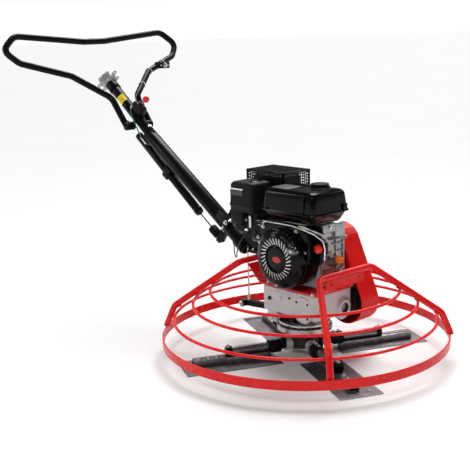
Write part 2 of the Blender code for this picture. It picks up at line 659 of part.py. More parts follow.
def make_lower_handle():
    s, w = FOLD_PIVOT
    tube = rod("lower_handle", (LOWER_END, 0, 0), (-0.0015, 0, 0), HANDLE_RADIUS, HANDLE, "black_paint", sides=28)
    lug = block("fold_lug", (s - 0.016, -0.0262, 0.016), (s + 0.0095, 0.0262, w + 0.010), HANDLE)
    flange = block("lower_flange", (-0.0095, -0.016, LATCH_W - 0.014), (-0.0015, 0.016, 0.0), HANDLE)
    join(tube, lug, flange)
    bore = rod("lower_bore", (LOWER_END - 0.010, 0, 0), (0.010, 0, 0), HANDLE_BORE, HANDLE, sides=24)
    pin_hole = rod("lug_hole", (s, -0.050, w), (s, 0.050, w), 0.0063, HANDLE, sides=16)
    latch_hole = rod("flange_hole", (-0.020, 0, LATCH_W), (0.010, 0, LATCH_W), 0.0036, HANDLE, sides=12)
    cut(tube, bore, pin_hole, latch_hole)
    pin_frame = HANDLE @ Matrix.Translation((s, 0, w)) @ SIDE_ON
    pin = [(0.010, -0.0405, -0.0330), (0.006, -0.0330, 0.0330), (0.010, 0.0330, 0.0405)]
    turned("fold_pin", shaft_profile(pin), pin_frame, "machined_steel", 16)
    cable = [(-0.352, 0.000, 0.3380), (-0.354, 0.000, 0.3180), (-0.349, -0.002, 0.2950), (-0.338, -0.006, 0.2850),
             (-0.322, -0.016, 0.2920), (-0.300, -0.034, 0.3160), (-0.262, -0.052, 0.3600), (-0.215, -0.060, 0.4050),
             (-0.185, -0.068, 0.4330), (-0.1720, -0.070, 0.4380)]
    pipe("throttle_loop", smooth(cable, 4), CABLE_RADIUS, ROTOR, "black_plastic")


def make_handle_tube():
    s, w = FOLD_PIVOT
    tube = rod("handle_tube", (0.0012, 0, 0), (HANDLE_LENGTH, 0, 0), HANDLE_RADIUS, HANDLE, "black_paint", sides=28)
    upper_low = Vector((UPPER_START[0], 0, UPPER_START[1]))
    upper_high = Vector((UPPER_END[0], 0, UPPER_END[1]))
    along = (upper_high - upper_low).normalized()
    upper = rod("upper_tube", upper_low, upper_high, UPPER_RADIUS, HANDLE, sides=24)
    collar = rod("wheel_collar", upper_high - along * 0.030, upper_high + along * 0.004, 0.0245, HANDLE, sides=24)
    pads = block("ear_pads", (0.008, -0.0325, -0.008), (0.042, 0.0325, 0.012), HANDLE)
    flange = block("upper_flange", (0.0012, -0.016, LATCH_W - 0.014), (0.0092, 0.016, 0.0), HANDLE)
    neck = rod("barrel_neck", (0.0080, 0, LATCH_W), (0.020, 0, LATCH_W), 0.009, HANDLE, sides=20)
    barrel = rod("latch_barrel", (0.0190, 0, LATCH_W), (0.060, 0, LATCH_W), LATCH_BARREL_RADIUS, HANDLE,
                 sides=20)
    join(tube, upper, collar, pads, flange, neck, barrel)
    for name, side in (("left", -1), ("right", 1)):
        ear = block(f"fold_ear_{name}", (s - 0.012, min(side * 0.0275, side * 0.0325), 0.004),
                    (0.042, max(side * 0.0275, side * 0.0325), w + 0.012), HANDLE)
        join(tube, ear)
    bore = rod("main_bore", (-0.020, 0, 0), (0.500, 0, 0), HANDLE_BORE, HANDLE, sides=24)
    upper_bore = rod("upper_bore", upper_low + along * 0.045, upper_high + along * 0.020, 0.0175, HANDLE, sides=20)
    rod_bore = rod("latch_bore", (-0.010, 0, LATCH_W), (0.080, 0, LATCH_W), 0.0036, HANDLE, sides=12)
    pin_hole = rod("ear_hole", (s, -0.050, w), (s, 0.050, w), 0.0063, HANDLE, sides=16)
    slot = block("ear_gap", (-0.070, -0.0275, -0.050), (0.0010, 0.0275, 0.060), HANDLE)
    cut(tube, slot, bore, upper_bore, rod_bore, pin_hole)


def make_latch():
    sleeve = rod("control_tube", (0.144, 0, -0.0665), (0.600, 0, -0.0465), 0.016, HANDLE, "black_paint", sides=20)
    strap = block("tube_strap", (0.352, -0.0180, -0.0755), (0.388, 0.0180, -HANDLE_RADIUS - GAP), HANDLE)
    join(sleeve, strap)
    bore = rod("sleeve_bore", (0.130, 0, -0.0690), (0.300, 0, -0.0625), 0.0060, HANDLE, sides=16)
    cut(sleeve, bore)
    rod("latch_rod", (-0.018, 0, LATCH_W), (0.200, 0, LATCH_W + 0.0022), 0.0025, HANDLE, "black_paint", sides=10)


def make_handlebar():
    """One bent tube: out along the rear bar, round both corners and down each side of the handle."""
    pipe("handlebar", rounded(mirrored(BAR_HALF), 0.050), BAR_RADIUS, ROTOR, "black_paint", fineness=2)


def make_controls():
    top = Vector((UPPER_END[0], 0, UPPER_END[1]))
    lean = atan2(UPPER_END[1] - UPPER_START[1], UPPER_END[0] - UPPER_START[0])
    wheel_frame = HANDLE @ Matrix.Translation(top) @ Matrix.Rotation(pi / 2 - lean, 4, "Y")
    lobes = 7
    star = [(radius * cos(2 * pi * (i + share) / lobes), radius * sin(2 * pi * (i + share) / lobes))
            for i in range(lobes)
            for radius, share in ((0.030, 0.0), (0.031, 0.30), (0.047, 0.40), (0.050, 0.50),
                                  (0.047, 0.60), (0.031, 0.70))]
    wheel = plate("pitch_handwheel", [star], 0.026, 0.037, wheel_frame, "cast_aluminium")
    hub = turned("wheel_hub", shaft_profile([(0.006, -0.240, 0.004), (0.014, 0.004, 0.014), (0.027, 0.014, 0.046)]),
                 wheel_frame, steps=24)
    join(wheel, hub)
    housing = block("throttle_housing", (0.612, -0.022, 0.0350), (0.690, 0.022, 0.0760), HANDLE, "black_plastic",
                    bevel=0.005, segments=1)
    slot = block("lever_slot", (0.618, -0.0045, 0.050), (0.684, 0.0045, 0.090), HANDLE)
    cut(housing, slot)
    lever = rod("throttle_lever", (0.655, 0, 0.058), (0.634, 0, 0.100), 0.0035, HANDLE, "red_plastic", sides=12)
    builder = bmesh.new()
    bmesh.ops.create_uvsphere(builder, u_segments=16, v_segments=10, radius=0.0135)
    ball = add("lever_ball", mesh_from(builder, "lever_ball"), HANDLE @ Matrix.Translation((0.632, 0, 0.107)))
    join(lever, ball)
    make_stop_switch()
    cable = [(0.672, 0.0250, 0.050), (0.662, 0.0290, 0.032), (0.630, 0.0310, 0.014), (0.590, 0.0305, -0.004),
             (0.556, 0.0270, -0.020), (0.534, 0.0180, -0.0305), (0.515, 0.0040, -0.0310)]
    pipe("throttle_cable", smooth(cable, 4), CABLE_RADIUS, HANDLE, "green_cable")


def make_stop_switch():
    """Switch box saddled on the belt-side arm of the handlebar, and its cable tied along that arm."""
    box = block("stop_switch", (-1.081, 0.232, 0.948), (-1.055, 0.288, 0.976), ROTOR, "black_plastic", bevel=0.003,
                segments=1)
    saddle = block("switch_saddle", (-1.104, 0.243, 0.950), (-1.075, 0.277, 0.974), ROTOR)
    arm_low, arm_high = [(x, -y, z) for x, y, z in BAR_HALF[3:5]]
    seat = rod("switch_seat", arm_low, arm_high, BAR_RADIUS + GAP, ROTOR)
    pocket = rod("switch_pocket", (-1.064, 0.260, 0.962), (-1.040, 0.260, 0.962), 0.0075, ROTOR, sides=16)
    join(box, saddle)
    cut(box, seat, pocket)
    rod("stop_button", (-1.0590, 0.260, 0.962), (-1.043, 0.260, 0.962), 0.0070, ROTOR, "machined_steel", sides=16)
    cable = [(-0.9275, 0.0100, 0.8310), (-0.9460, 0.0200, 0.8440), (-0.9660, 0.0400, 0.8550),
             (-0.9830, 0.0620, 0.8640), (-1.0097, 0.0996, 0.8850), (-1.0437, 0.1508, 0.9218),
             (-1.0668, 0.1911, 0.9477), (-1.0710, 0.2130, 0.9560), (-1.0688, 0.2307, 0.9615)]
    pipe("stop_cable", smooth(cable, 4), CABLE_RADIUS, ROTOR, "black_plastic")


make_guard()
make_rotor()
make_gearbox()
make_yoke()
make_base()
make_belt_drive()
make_engine_core()
make_shroud()
make_engine_tops()
make_lower_handle()
make_handle_tube()
make_latch()
make_handlebar()
make_controls()
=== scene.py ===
import json
from math import atan2, cos, hypot, pi, radians, sin, tan

import bmesh
import bpy
from mathutils import Matrix, Vector


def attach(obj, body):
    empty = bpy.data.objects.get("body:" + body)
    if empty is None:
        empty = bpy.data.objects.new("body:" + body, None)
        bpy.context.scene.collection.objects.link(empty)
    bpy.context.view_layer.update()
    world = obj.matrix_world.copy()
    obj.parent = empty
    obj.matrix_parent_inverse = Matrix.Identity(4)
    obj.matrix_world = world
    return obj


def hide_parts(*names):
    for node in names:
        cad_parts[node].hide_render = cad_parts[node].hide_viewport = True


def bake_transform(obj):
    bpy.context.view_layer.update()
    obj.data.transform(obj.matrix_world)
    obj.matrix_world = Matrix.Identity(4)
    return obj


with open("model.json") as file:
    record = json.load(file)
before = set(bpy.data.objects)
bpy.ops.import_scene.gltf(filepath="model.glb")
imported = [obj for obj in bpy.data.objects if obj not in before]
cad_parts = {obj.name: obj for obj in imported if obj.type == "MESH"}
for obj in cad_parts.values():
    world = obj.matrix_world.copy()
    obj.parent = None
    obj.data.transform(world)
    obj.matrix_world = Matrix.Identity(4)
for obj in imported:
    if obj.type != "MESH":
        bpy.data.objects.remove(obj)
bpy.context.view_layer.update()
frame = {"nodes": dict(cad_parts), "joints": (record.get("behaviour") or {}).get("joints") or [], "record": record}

# ---------------------------------------------------------------- places read from the frame

JOINTS = {joint["name"]: joint for joint in frame["joints"]}


def joint_place(name):
    return Vector(JOINTS[name]["pos_m"])


ROTOR_X = joint_place("rotor_spin").x
ROTOR = Matrix.Translation((ROTOR_X, 0, 0))
SIDE_ON = Matrix.Rotation(pi / 2, 4, "X")
END_ON = Matrix.Rotation(pi / 2, 4, "Y")


def at(x, y, z):
    """A place measured from the rotor's axis at floor level."""
    return ROTOR @ Matrix.Translation((x, y, z))


CRANK_X = joint_place("crank_spin").x - ROTOR_X
CRANK_Z = joint_place("crank_spin").z
CRANK = at(CRANK_X, 0, CRANK_Z) @ SIDE_ON
WORM_X = joint_place("worm_spin").x - ROTOR_X
WORM_Z = joint_place("worm_spin").z
WORM = at(WORM_X, 0, WORM_Z) @ SIDE_ON
FOLD_PIVOT = (-0.013, 0.029)
ALONG = Vector(JOINTS["fold_latch_pull"]["axis"]).normalized()
ABOVE = ALONG.cross(Vector((0, -1, 0)))
FOLD_START = joint_place("handle_fold") - ALONG * FOLD_PIVOT[0] - ABOVE * FOLD_PIVOT[1]
HANDLE = Matrix(((ALONG.x, 0, ABOVE.x, FOLD_START.x), (ALONG.y, -1, ABOVE.y, FOLD_START.y),
    (ALONG.z, 0, ABOVE.z, FOLD_START.z), (0, 0, 0, 1)))
ARM_HEIGHT = joint_place("blade_1_pitch").z
LATCH_W = -0.069


def arm_frame(index):
    """Local X runs outward along one trowel arm, local Z up."""
    out = -Vector(JOINTS[f"blade_{index + 1}_pitch"]["axis"])
    turn = Matrix.Rotation(atan2(out.y, out.x), 4, "Z")
    return ROTOR @ turn @ Matrix.Translation((0, 0, ARM_HEIGHT))


# ---------------------------------------------------------------- camera

VIEW_CENTRE = Vector((ROTOR_X, 0, 0.1))
VIEW_DISTANCE = 3.2
VIEW_AZIMUTH = radians(44.004)
VIEW_ELEVATION = radians(17.949)
AIM_YAW, AIM_PITCH, AIM_ROLL = radians(4.342), radians(5.608), radians(-1.749)
SENSOR_WIDTH = 36
FOCAL_SHARE = 923.2 / 470


def make_camera():
    """The camera stands off the rotor and is aimed a little up and to the side of it."""
    outward = Vector((sin(VIEW_AZIMUTH) * cos(VIEW_ELEVATION), -cos(VIEW_AZIMUTH) * cos(VIEW_ELEVATION),
        sin(VIEW_ELEVATION)))
    heading, climb = VIEW_AZIMUTH + AIM_YAW, AIM_PITCH - VIEW_ELEVATION
    forward = Vector((-sin(heading) * cos(climb), cos(heading) * cos(climb), sin(climb)))
    level = forward.cross(Vector((0, 0, 1))).normalized()
    upright = level.cross(forward)
    right = level * cos(AIM_ROLL) + upright * sin(AIM_ROLL)
    up = upright * cos(AIM_ROLL) - level * sin(AIM_ROLL)
    data = bpy.data.cameras.new("camera")
    data.sensor_width = SENSOR_WIDTH
    data.lens = SENSOR_WIDTH * FOCAL_SHARE
    camera = bpy.data.objects.new("camera", data)
    place = VIEW_CENTRE + outward * VIEW_DISTANCE
    camera.matrix_world = Matrix(((right.x, up.x, -forward.x, place.x), (right.y, up.y, -forward.y, place.y),
        (right.z, up.z, -forward.z, place.z), (0, 0, 0, 1)))
    bpy.context.scene.collection.objects.link(camera)
    bpy.context.scene.camera = camera


make_camera()

# ---------------------------------------------------------------- materials


def link(tree, source, target):
    tree.links.new(source, target)


def node(tree, kind, **settings):
    item = tree.nodes.new(kind)
    for name, value in settings.items():
        setattr(item, name, value)
    return item


def noise(tree, vector, scale, detail=4, roughness=0.55):
    item = node(tree, "ShaderNodeTexNoise")
    item.inputs["Scale"].default_value = scale
    item.inputs["Detail"].default_value = detail
    item.inputs["Roughness"].default_value = roughness
    link(tree, vector, item.inputs["Vector"])
    return item.outputs["Fac"]


def spread(tree, value, low, high, source_low=0.3, source_high=0.7):
    item = node(tree, "ShaderNodeMapRange", clamp=True)
    item.inputs["From Min"].default_value = source_low
    item.inputs["From Max"].default_value = source_high
    item.inputs["To Min"].default_value = low
    item.inputs["To Max"].default_value = high
    link(tree, value, item.inputs["Value"])
    return item.outputs["Result"]


def blend_colour(tree, factor, first, second):
    item = node(tree, "ShaderNodeMix", data_type="RGBA")
    for socket, value in ((item.inputs[6], first), (item.inputs[7], second)):
        if isinstance(value, tuple):
            socket.default_value = (*value, 1)
        else:
            link(tree, value, socket)
    link(tree, factor, item.inputs[0])
    return item.outputs[2]


COAT_ROUGHNESS = 0.07
LEAST_ROUGHNESS = 0.03


def look(name, colour, second, roughness, patch, grain, bump, metallic=0, depth=0.0004, rough_spread=0.06,
        stretch=(1, 1, 1), coat=0, flecks=None, specular=0.5):
    """A surface whose colour drifts in patches to a second one, whose gloss varies, and whose grain is bump."""
    material = bpy.data.materials.new(name)
    material.use_nodes = True
    tree = material.node_tree
    shader = tree.nodes["Principled BSDF"]
    shader.inputs["Metallic"].default_value = metallic
    shader.inputs["Specular IOR Level"].default_value = specular
    shader.inputs["Coat Weight"].default_value = coat
    shader.inputs["Coat Roughness"].default_value = COAT_ROUGHNESS
    place = node(tree, "ShaderNodeTexCoord").outputs["Object"]
    mapping = node(tree, "ShaderNodeMapping")
    mapping.inputs["Scale"].default_value = stretch
    link(tree, place, mapping.inputs["Vector"])
    along = mapping.outputs["Vector"]
    drift = spread(tree, noise(tree, along, patch), 0, 1)
    tone = blend_colour(tree, drift, colour, second)
    fine = noise(tree, along, grain, 3)
    if flecks:
        fleck_colour, amount = flecks
        specks = spread(tree, noise(tree, along, grain * 0.45, 2, 0.7), 0, 1, 1 - amount, 1.05 - amount)
        tone = blend_colour(tree, specks, tone, fleck_colour)
    link(tree, tone, shader.inputs["Base Color"])
    smear = noise(tree, along, patch * 3.7, 5, 0.65)
    link(tree, spread(tree, smear, max(roughness - rough_spread, LEAST_ROUGHNESS), roughness + rough_spread),
        shader.inputs["Roughness"])
    raised = node(tree, "ShaderNodeBump")
    raised.inputs["Strength"].default_value = bump
    raised.inputs["Distance"].default_value = depth
    link(tree, fine, raised.inputs["Height"])
    link(tree, raised.outputs["Normal"], shader.inputs["Normal"])
    return material


# The finishes by CAD slot.
LOOKS = {}
LOOKS["guard_red"] = look("red_gloss_paint", (0.84, 0.012, 0.011), (0.75, 0.008, 0.008), 0.26, 5, 420, 0.05,
    rough_spread=0.05, specular=0.26)
LOOKS["handle_black"] = look("black_powder_coat", (0.0028, 0.0028, 0.0032), (0.005, 0.005, 0.0054), 0.3, 12, 1100,
    0.22, rough_spread=0.07, specular=0.1)
LOOKS["engine_black"] = look("black_enamel", (0.0022, 0.0022, 0.0026), (0.004, 0.004, 0.0044), 0.13, 14, 650, 0.04,
    rough_spread=0.05, specular=0.13)
LOOKS["engine_alloy"] = look("sand_cast_alloy", (0.44, 0.45, 0.46), (0.3, 0.31, 0.32), 0.44, 24, 420, 0.55,
    metallic=1, depth=0.0008, rough_spread=0.12)
LOOKS["gearbox_alloy"] = look("machined_alloy", (0.64, 0.65, 0.65), (0.55, 0.56, 0.56), 0.46, 10, 900, 0.12,
    metallic=0.35, stretch=(1, 1, 3), rough_spread=0.07)
LOOKS["bright_steel"] = look("turned_steel", (0.62, 0.62, 0.61), (0.48, 0.48, 0.48), 0.25, 18, 260, 0.22, metallic=1,
    stretch=(1, 1, 7), rough_spread=0.08)
LOOKS["blade_steel"] = look("mill_finish_steel", (0.27, 0.27, 0.28), (0.17, 0.17, 0.18), 0.36, 16, 140, 0.15,
    metallic=1, stretch=(1, 4, 1), rough_spread=0.12, flecks=((0.34, 0.34, 0.34), 0.3))
LOOKS["dark_iron"] = look("dark_cast_iron", (0.05, 0.05, 0.052), (0.085, 0.08, 0.075), 0.52, 30, 500, 0.6,
    metallic=0.9, depth=0.0007, rough_spread=0.12)
LOOKS["wheel_bronze"] = look("hobbed_bronze", (0.55, 0.34, 0.12), (0.42, 0.25, 0.09), 0.34, 20, 300, 0.2, metallic=1)
LOOKS["belt"] = look("belt_fabric_rubber", (0.014, 0.014, 0.014), (0.03, 0.028, 0.026), 0.72, 60, 900, 0.5)
LOOKS["black_plastic"] = look("textured_black_plastic", (0.006, 0.006, 0.0065), (0.01, 0.01, 0.0105), 0.46, 18, 1400,
    0.3, rough_spread=0.06, specular=0.11)
LOOKS["red_plastic"] = look("red_moulding", (0.78, 0.02, 0.01), (0.66, 0.014, 0.008), 0.24, 30, 500, 0.05,
    specular=0.4)
LOOKS["orange_plastic"] = look("orange_moulding", (0.88, 0.2, 0.01), (0.76, 0.15, 0.008), 0.34, 40, 700, 0.12)
LOOKS["cable_black"] = look("black_cable_jacket", (0.007, 0.007, 0.007), (0.013, 0.013, 0.013), 0.38, 50, 900, 0.15,
    specular=0.25)
LOOKS["cable_green"] = look("green_cable_jacket", (0.01, 0.2, 0.125), (0.008, 0.15, 0.1), 0.36, 50, 900, 0.1)
LOOKS["wire_pale"] = look("pale_wire_jacket", (0.8, 0.8, 0.56), (0.66, 0.68, 0.4), 0.36, 60, 800, 0.1)
LOOKS["wheel_alloy"] = look("die_cast_alloy", (0.4, 0.4, 0.4), (0.28, 0.28, 0.28), 0.46, 30, 500, 0.25, metallic=0.5,
    rough_spread=0.1)

# Further finishes, each listed with a CAD slot name that the pieces do not take; they take only the finish.
TRIMS = {}
TRIMS["yellow_label"] = "black_plastic", look("yellow_label", (1, 0.82, 0.004), (0.95, 0.74, 0.004), 0.4, 40, 900,
    0.05)
TRIMS["white_tie"] = "black_plastic", look("white_nylon", (0.78, 0.78, 0.76), (0.66, 0.66, 0.64), 0.4, 60, 900, 0.1)
TRIMS["grey_print"] = "engine_black", look("grey_print", (0.045, 0.045, 0.045), (0.02, 0.02, 0.02), 0.45, 120, 700,
    0.05)
TRIMS["white_print"] = "engine_black", look("white_print", (0.92, 0.92, 0.92), (0.84, 0.84, 0.84), 0.35, 60, 700,
    0.03)
TRIMS["red_print"] = "engine_black", look("red_print", (0.62, 0.01, 0.01), (0.48, 0.008, 0.008), 0.35, 60, 700, 0.03)
TRIMS["heat_steel"] = "dark_iron", look("heat_tinted_steel", (0.06, 0.052, 0.048), (0.032, 0.03, 0.032), 0.46, 26,
    320, 0.3, metallic=0.9)
# A grey that fades darker across the tank top: a painted reflection of the light.
TRIMS["painted_tank_sheen"] = "engine_black", look("painted_tank_sheen", (0.22, 0.22, 0.22), (0.07, 0.07, 0.07), 0.3, 70, 500,
    0.05, metallic=0.3, stretch=(3, 1, 1))
TRIMS["label_ink"] = "black_plastic", look("label_ink", (0.5, 0.36, 0.004), (0.4, 0.28, 0.004), 0.45, 60, 900, 0.03)
TRIMS["wet_black"] = "engine_black", look("polished_black", (0.003, 0.003, 0.003), (0.005, 0.005, 0.005), 0.07, 20,
    500, 0.02, rough_spread=0.03, coat=1, specular=0.9)
# Bright alloy for the recoil vanes, fuel lever and rope knot; on the fan housing's rim line it is a painted
# highlight.
TRIMS["alloy_and_highlight"] = "engine_alloy", look("bright_alloy_and_painted_highlight", (0.86, 0.86, 0.86), (0.76, 0.76, 0.77), 0.35, 60, 500,
    0.1, metallic=0.6)

# ---------------------------------------------------------------- shape tools


def place(name, data, look_name, body, replaced=()):
    item = bpy.data.objects.new(name, data)
    bpy.context.scene.collection.objects.link(item)
    slot, material = TRIMS[look_name] if look_name in TRIMS else (look_name, LOOKS[look_name])
    item.data.materials.clear()
    item.data.materials.append(material)
    if body:
        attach(item, body)
    if replaced:
        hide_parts(*replaced)
    return item


SHARP = 32


def finish_mesh(builder, name, where, angle=SHARP):
    bmesh.ops.remove_doubles(builder, verts=builder.verts, dist=1e-6)
    bmesh.ops.recalc_face_normals(builder, faces=builder.faces)
    mesh = bpy.data.meshes.new(name)
    builder.to_mesh(mesh)
    builder.free()
    mesh.transform(where)
    if where.determinant() < 0:
        mesh.flip_normals()
    mesh.shade_smooth()
    mesh.set_sharp_from_angle(angle=radians(angle))
    return mesh


def put(name, builder, where, look_name="bright_steel", body="frame", replaced=(), angle=SHARP):
    """The builder's mesh as a visible piece."""
    return place(name, finish_mesh(builder, name, where, angle), look_name, body, replaced)


def mm(text):
    """Points written in millimetres, numbers parted by spaces and points by commas, as tuples in metres."""
    return [tuple(float(value + "e-3") for value in point.split()) for point in text.split(",")]


def add_box(builder, low, high, bevel=0, segments=3, turn=None):
    low, high = Vector(low), Vector(high)
    made = bmesh.ops.create_cube(builder, size=1)["verts"]
    bmesh.ops.scale(builder, vec=high - low, verts=made)
    if bevel:
        edges = list({edge for vert in made for edge in vert.link_edges})
        made = bmesh.ops.bevel(builder, geom=edges, offset=bevel, segments=segments, affect="EDGES",
            profile=0.5)["verts"]
    place_at = Matrix.Translation((low + high) / 2)
    bmesh.ops.transform(builder, matrix=turn @ place_at if turn else place_at, verts=list(set(made)))


def add_rod(builder, start, end, radius, sides=32, end_radius=None, bevel=0):
    start, end = Vector(start), Vector(end)
    along = end - start
    made = bmesh.ops.create_cone(builder, cap_ends=True, segments=sides, radius1=radius, radius2=radius if end_radius
        is None else end_radius, depth=along.length)["verts"]
    if bevel:
        rims = [edge for edge in {e for v in made for e in v.link_edges} if any(len(face.verts) > 4 for face in
            edge.link_faces)]
        made = made + bmesh.ops.bevel(builder, geom=rims, offset=bevel, segments=2, affect="EDGES",
            profile=0.5)["verts"]
        made = [v for v in set(made) if v.is_valid]
    turn = Vector((0, 0, 1)).rotation_difference(along).to_matrix().to_4x4()
    bmesh.ops.transform(builder, matrix=Matrix.Translation((start + end) / 2) @ turn, verts=made)


def add_bolt(builder, centre, axis, size):
    """A hex head on a washer, standing on a surface; size is across the flats."""
    centre, axis = Vector(centre), Vector(axis).normalized()
    add_rod(builder, centre, centre + axis * size * 0.14, size * 0.78, 24, bevel=size * 0.03)
    add_rod(builder, centre + axis * size * 0.14, centre + axis * size * 0.6, size * 0.577, 6, bevel=size * 0.05)
    add_rod(builder, centre + axis * size * 0.6, centre + axis * size * 0.66, size * 0.42, 16)


def box(name, low, high, where=ROTOR, look_name="bright_steel", body="frame", bevel=0.002, segments=3, replaced=()):
    builder = bmesh.new()
    add_box(builder, low, high, bevel, segments)
    return put(name, builder, where, look_name, body, replaced)


def rods(name, runs, where=ROTOR, look_name="bright_steel", body="frame", sides=32, bevel=0, replaced=()):
    """Several bars in one piece, each (start, end, radius) or (start, end, radius, end_radius)."""
    builder = bmesh.new()
    for run in runs:
        add_rod(builder, run[0], run[1], run[2], sides, run[3] if len(run) > 3 else None, bevel)
    return put(name, builder, where, look_name, body, replaced)


def bolts(name, places, axis, size, where=ROTOR, look_name="bright_steel", body="frame"):
    builder = bmesh.new()
    for centre in places:
        add_bolt(builder, centre, axis, size)
    return put(name, builder, where, look_name, body)


def turned(name, profile, where=ROTOR, look_name="bright_steel", body="frame", steps=72, replaced=(), angle=SHARP):
    """A profile of (radius, height) turned about the frame's Z; a profile off the axis closes on itself."""
    builder = bmesh.new()
    closed = profile[0][0] > 1e-6 and profile[-1][0] > 1e-6
    rings = []
    for radius, height in profile:
        if radius < 1e-6:
            rings.append([builder.verts.new((0, 0, height))])
        else:
            rings.append([builder.verts.new((radius * cos(2 * pi * i / steps), radius * sin(2 * pi * i / steps),
                height)) for i in range(steps)])
    pairs = list(zip(rings, rings[1:])) + ([(rings[-1], rings[0])] if closed else [])
    for first, second in pairs:
        for i in range(steps):
            corner = [first[i % len(first)], first[(i + 1) % len(first)], second[(i + 1) % len(second)],
                second[i % len(second)]]
            corner = list(dict.fromkeys(corner))
            if len(corner) > 2:
                builder.faces.new(corner)
    return put(name, builder, where, look_name, body, replaced, angle)


def wrap(name, axis, radius, thick, angles, span, look_name, body, steps=24):
    """A thin sticker bent round a tube whose line is the frame's Z; angle 0 faces the handle's near side."""
    builder = bmesh.new()
    start, end = angles
    rings = []
    for i in range(steps + 1):
        angle = start + (end - start) * i / steps
        rings.append([builder.verts.new((r * sin(angle) * -1, r * cos(angle), z)) for r, z in
            ((radius, span[0]), (radius + thick, span[0]), (radius + thick, span[1]), (radius, span[1]))])
    for first, second in zip(rings, rings[1:]):
        for i in range(4):
            j = (i + 1) % 4
            builder.faces.new((first[i], first[j], second[j], second[i]))
    builder.faces.new(rings[0])
    builder.faces.new(rings[-1])
    return put(name, builder, axis, look_name, body)


def tube(name, route, radius, where=ROTOR, look_name="bright_steel", body="frame", closed=False, fineness=5,
        replaced=()):
    curve = bpy.data.curves.new(name, "CURVE")
    curve.dimensions = "3D"
    curve.bevel_depth = radius
    curve.bevel_resolution = fineness
    curve.use_fill_caps = not closed
    spline = curve.splines.new("POLY")
    spline.points.add(len(route) - 1)
    for point, spot in zip(spline.points, route):
        point.co = (*(where @ Vector(spot)), 1)
    spline.use_cyclic_u = closed
    spline.use_smooth = True
    return place(name, curve, look_name, body, replaced)


def slab(name, outlines, low, high, where=ROTOR, look_name="bright_steel", body="frame", bevel=0.001, replaced=()):
    """A flat outline, further outlines being holes, with rounded rims."""
    curve = bpy.data.curves.new(name, "CURVE")
    curve.dimensions = "2D"
    curve.fill_mode = "BOTH"
    curve.extrude = (high - low) / 2 - bevel
    curve.bevel_depth = bevel
    curve.bevel_resolution = 2
    curve.offset = -bevel
    for outline in outlines:
        spline = curve.splines.new("POLY")
        spline.points.add(len(outline) - 1)
        for point, (x, y) in zip(spline.points, outline):
            point.co = (x, y, 0, 1)
        spline.use_cyclic_u = True
    carrier = bpy.data.objects.new(name, curve)
    bpy.context.scene.collection.objects.link(carrier)
    bpy.context.view_layer.update()
    mesh = bpy.data.meshes.new_from_object(carrier.evaluated_get(bpy.context.evaluated_depsgraph_get()))
    bpy.data.objects.remove(carrier, do_unlink=True)
    builder = bmesh.new()
    builder.from_mesh(mesh)
    middle = Matrix.Translation((0, 0, (low + high) / 2))
    return put(name, builder, where @ middle, look_name, body, replaced)


def stack(name, layers, where=ROTOR, look_name="bright_steel", body="frame", corner_steps=8, replaced=(),
        angle=SHARP):
    """A closed form through level rounded rectangles: (height, x low, x high, y low, y high, corner)."""
    builder = bmesh.new()
    rings = []
    for height, x_low, x_high, y_low, y_high, corner in layers:
        points = []
        for cx, cy, start in ((x_high, y_high, 0), (x_low, y_high, pi / 2), (x_low, y_low, pi),
                (x_high, y_low, 1.5 * pi)):
            centre_x = cx - corner if cx == x_high else cx + corner
            centre_y = cy - corner if cy == y_high else cy + corner
            points += [(centre_x + corner * cos(start + pi / 2 * i / corner_steps), centre_y + corner *
                sin(start + pi / 2 * i / corner_steps)) for i in range(corner_steps + 1)]
        rings.append([builder.verts.new((x, y, height)) for x, y in points])
    for first, second in zip(rings, rings[1:]):
        for i in range(len(first)):
            j = (i + 1) % len(first)
            builder.faces.new((first[i], first[j], second[j], second[i]))
    builder.faces.new(rings[0])
    builder.faces.new(rings[-1])
    return put(name, builder, where, look_name, body, replaced, angle)


def arc(centre, radius, start, end, count):
    return [(centre[0] + radius * cos(start + (end - start) * i / (count - 1)), centre[1] + radius *
        sin(start + (end - start) * i / (count - 1))) for i in range(count)]


def circle(centre, radius, count=64):
    return arc(centre, radius, 0, 2 * pi * (count - 1) / count, count)


def lobed(radius, swell, lobes, steps):
    """A circle whose radius swells once for each lobe."""
    return [((radius + swell * cos(lobes * a)) * cos(a), (radius + swell * cos(lobes * a)) * sin(a)) for a in
        (2 * pi * i / steps for i in range(steps))]


def levels(x0, x1, y0, y1, rows):
    """Layers for stack within one box: (height, inset of the sides, of the near end, of the far end, corner)."""
    return [(height, x0 + side, x1 - side, y0 + near, y1 - far, corner) for height, side, near, far, corner in rows]


def rounded(points, radius, steps=10):
    """A route whose inner corners become smooth bends."""
    route = [Vector(points[0])]
    for before, corner, after in zip(points, points[1:], points[2:]):
        corner = Vector(corner)
        back, ahead = Vector(before) - corner, Vector(after) - corner
        half = back.angle(ahead) / 2
        reach = min(radius / tan(half), back.length * 0.45, ahead.length * 0.45)
        start, end = corner + back.normalized() * reach, corner + ahead.normalized() * reach
        for i in range(steps + 1):
            t = i / steps
            route.append(start * (1 - t) ** 2 + corner * 2 * t * (1 - t) + end * t ** 2)
    return route + [Vector(points[-1])]


def mirrored(points):
    return points + [(x, -y, z) for x, y, z in reversed(points)]


def smooth(points, steps=8):
    """A Catmull-Rom curve through the points of a route."""
    points = [Vector(p) for p in points]
    padded = [points[0] * 2 - points[1]] + points + [points[-1] * 2 - points[-2]]
    route = []
    for a, b, c, d in zip(padded, padded[1:], padded[2:], padded[3:]):
        for i in range(steps):
            t = i / steps
            route.append(0.5 * (b * 2 + (c - a) * t + (a * 2 - b * 5 + c * 4 - d) * t ** 2 + (b * 3 - a - c * 3 + d) *
                t ** 3))
    return route + [points[-1]]


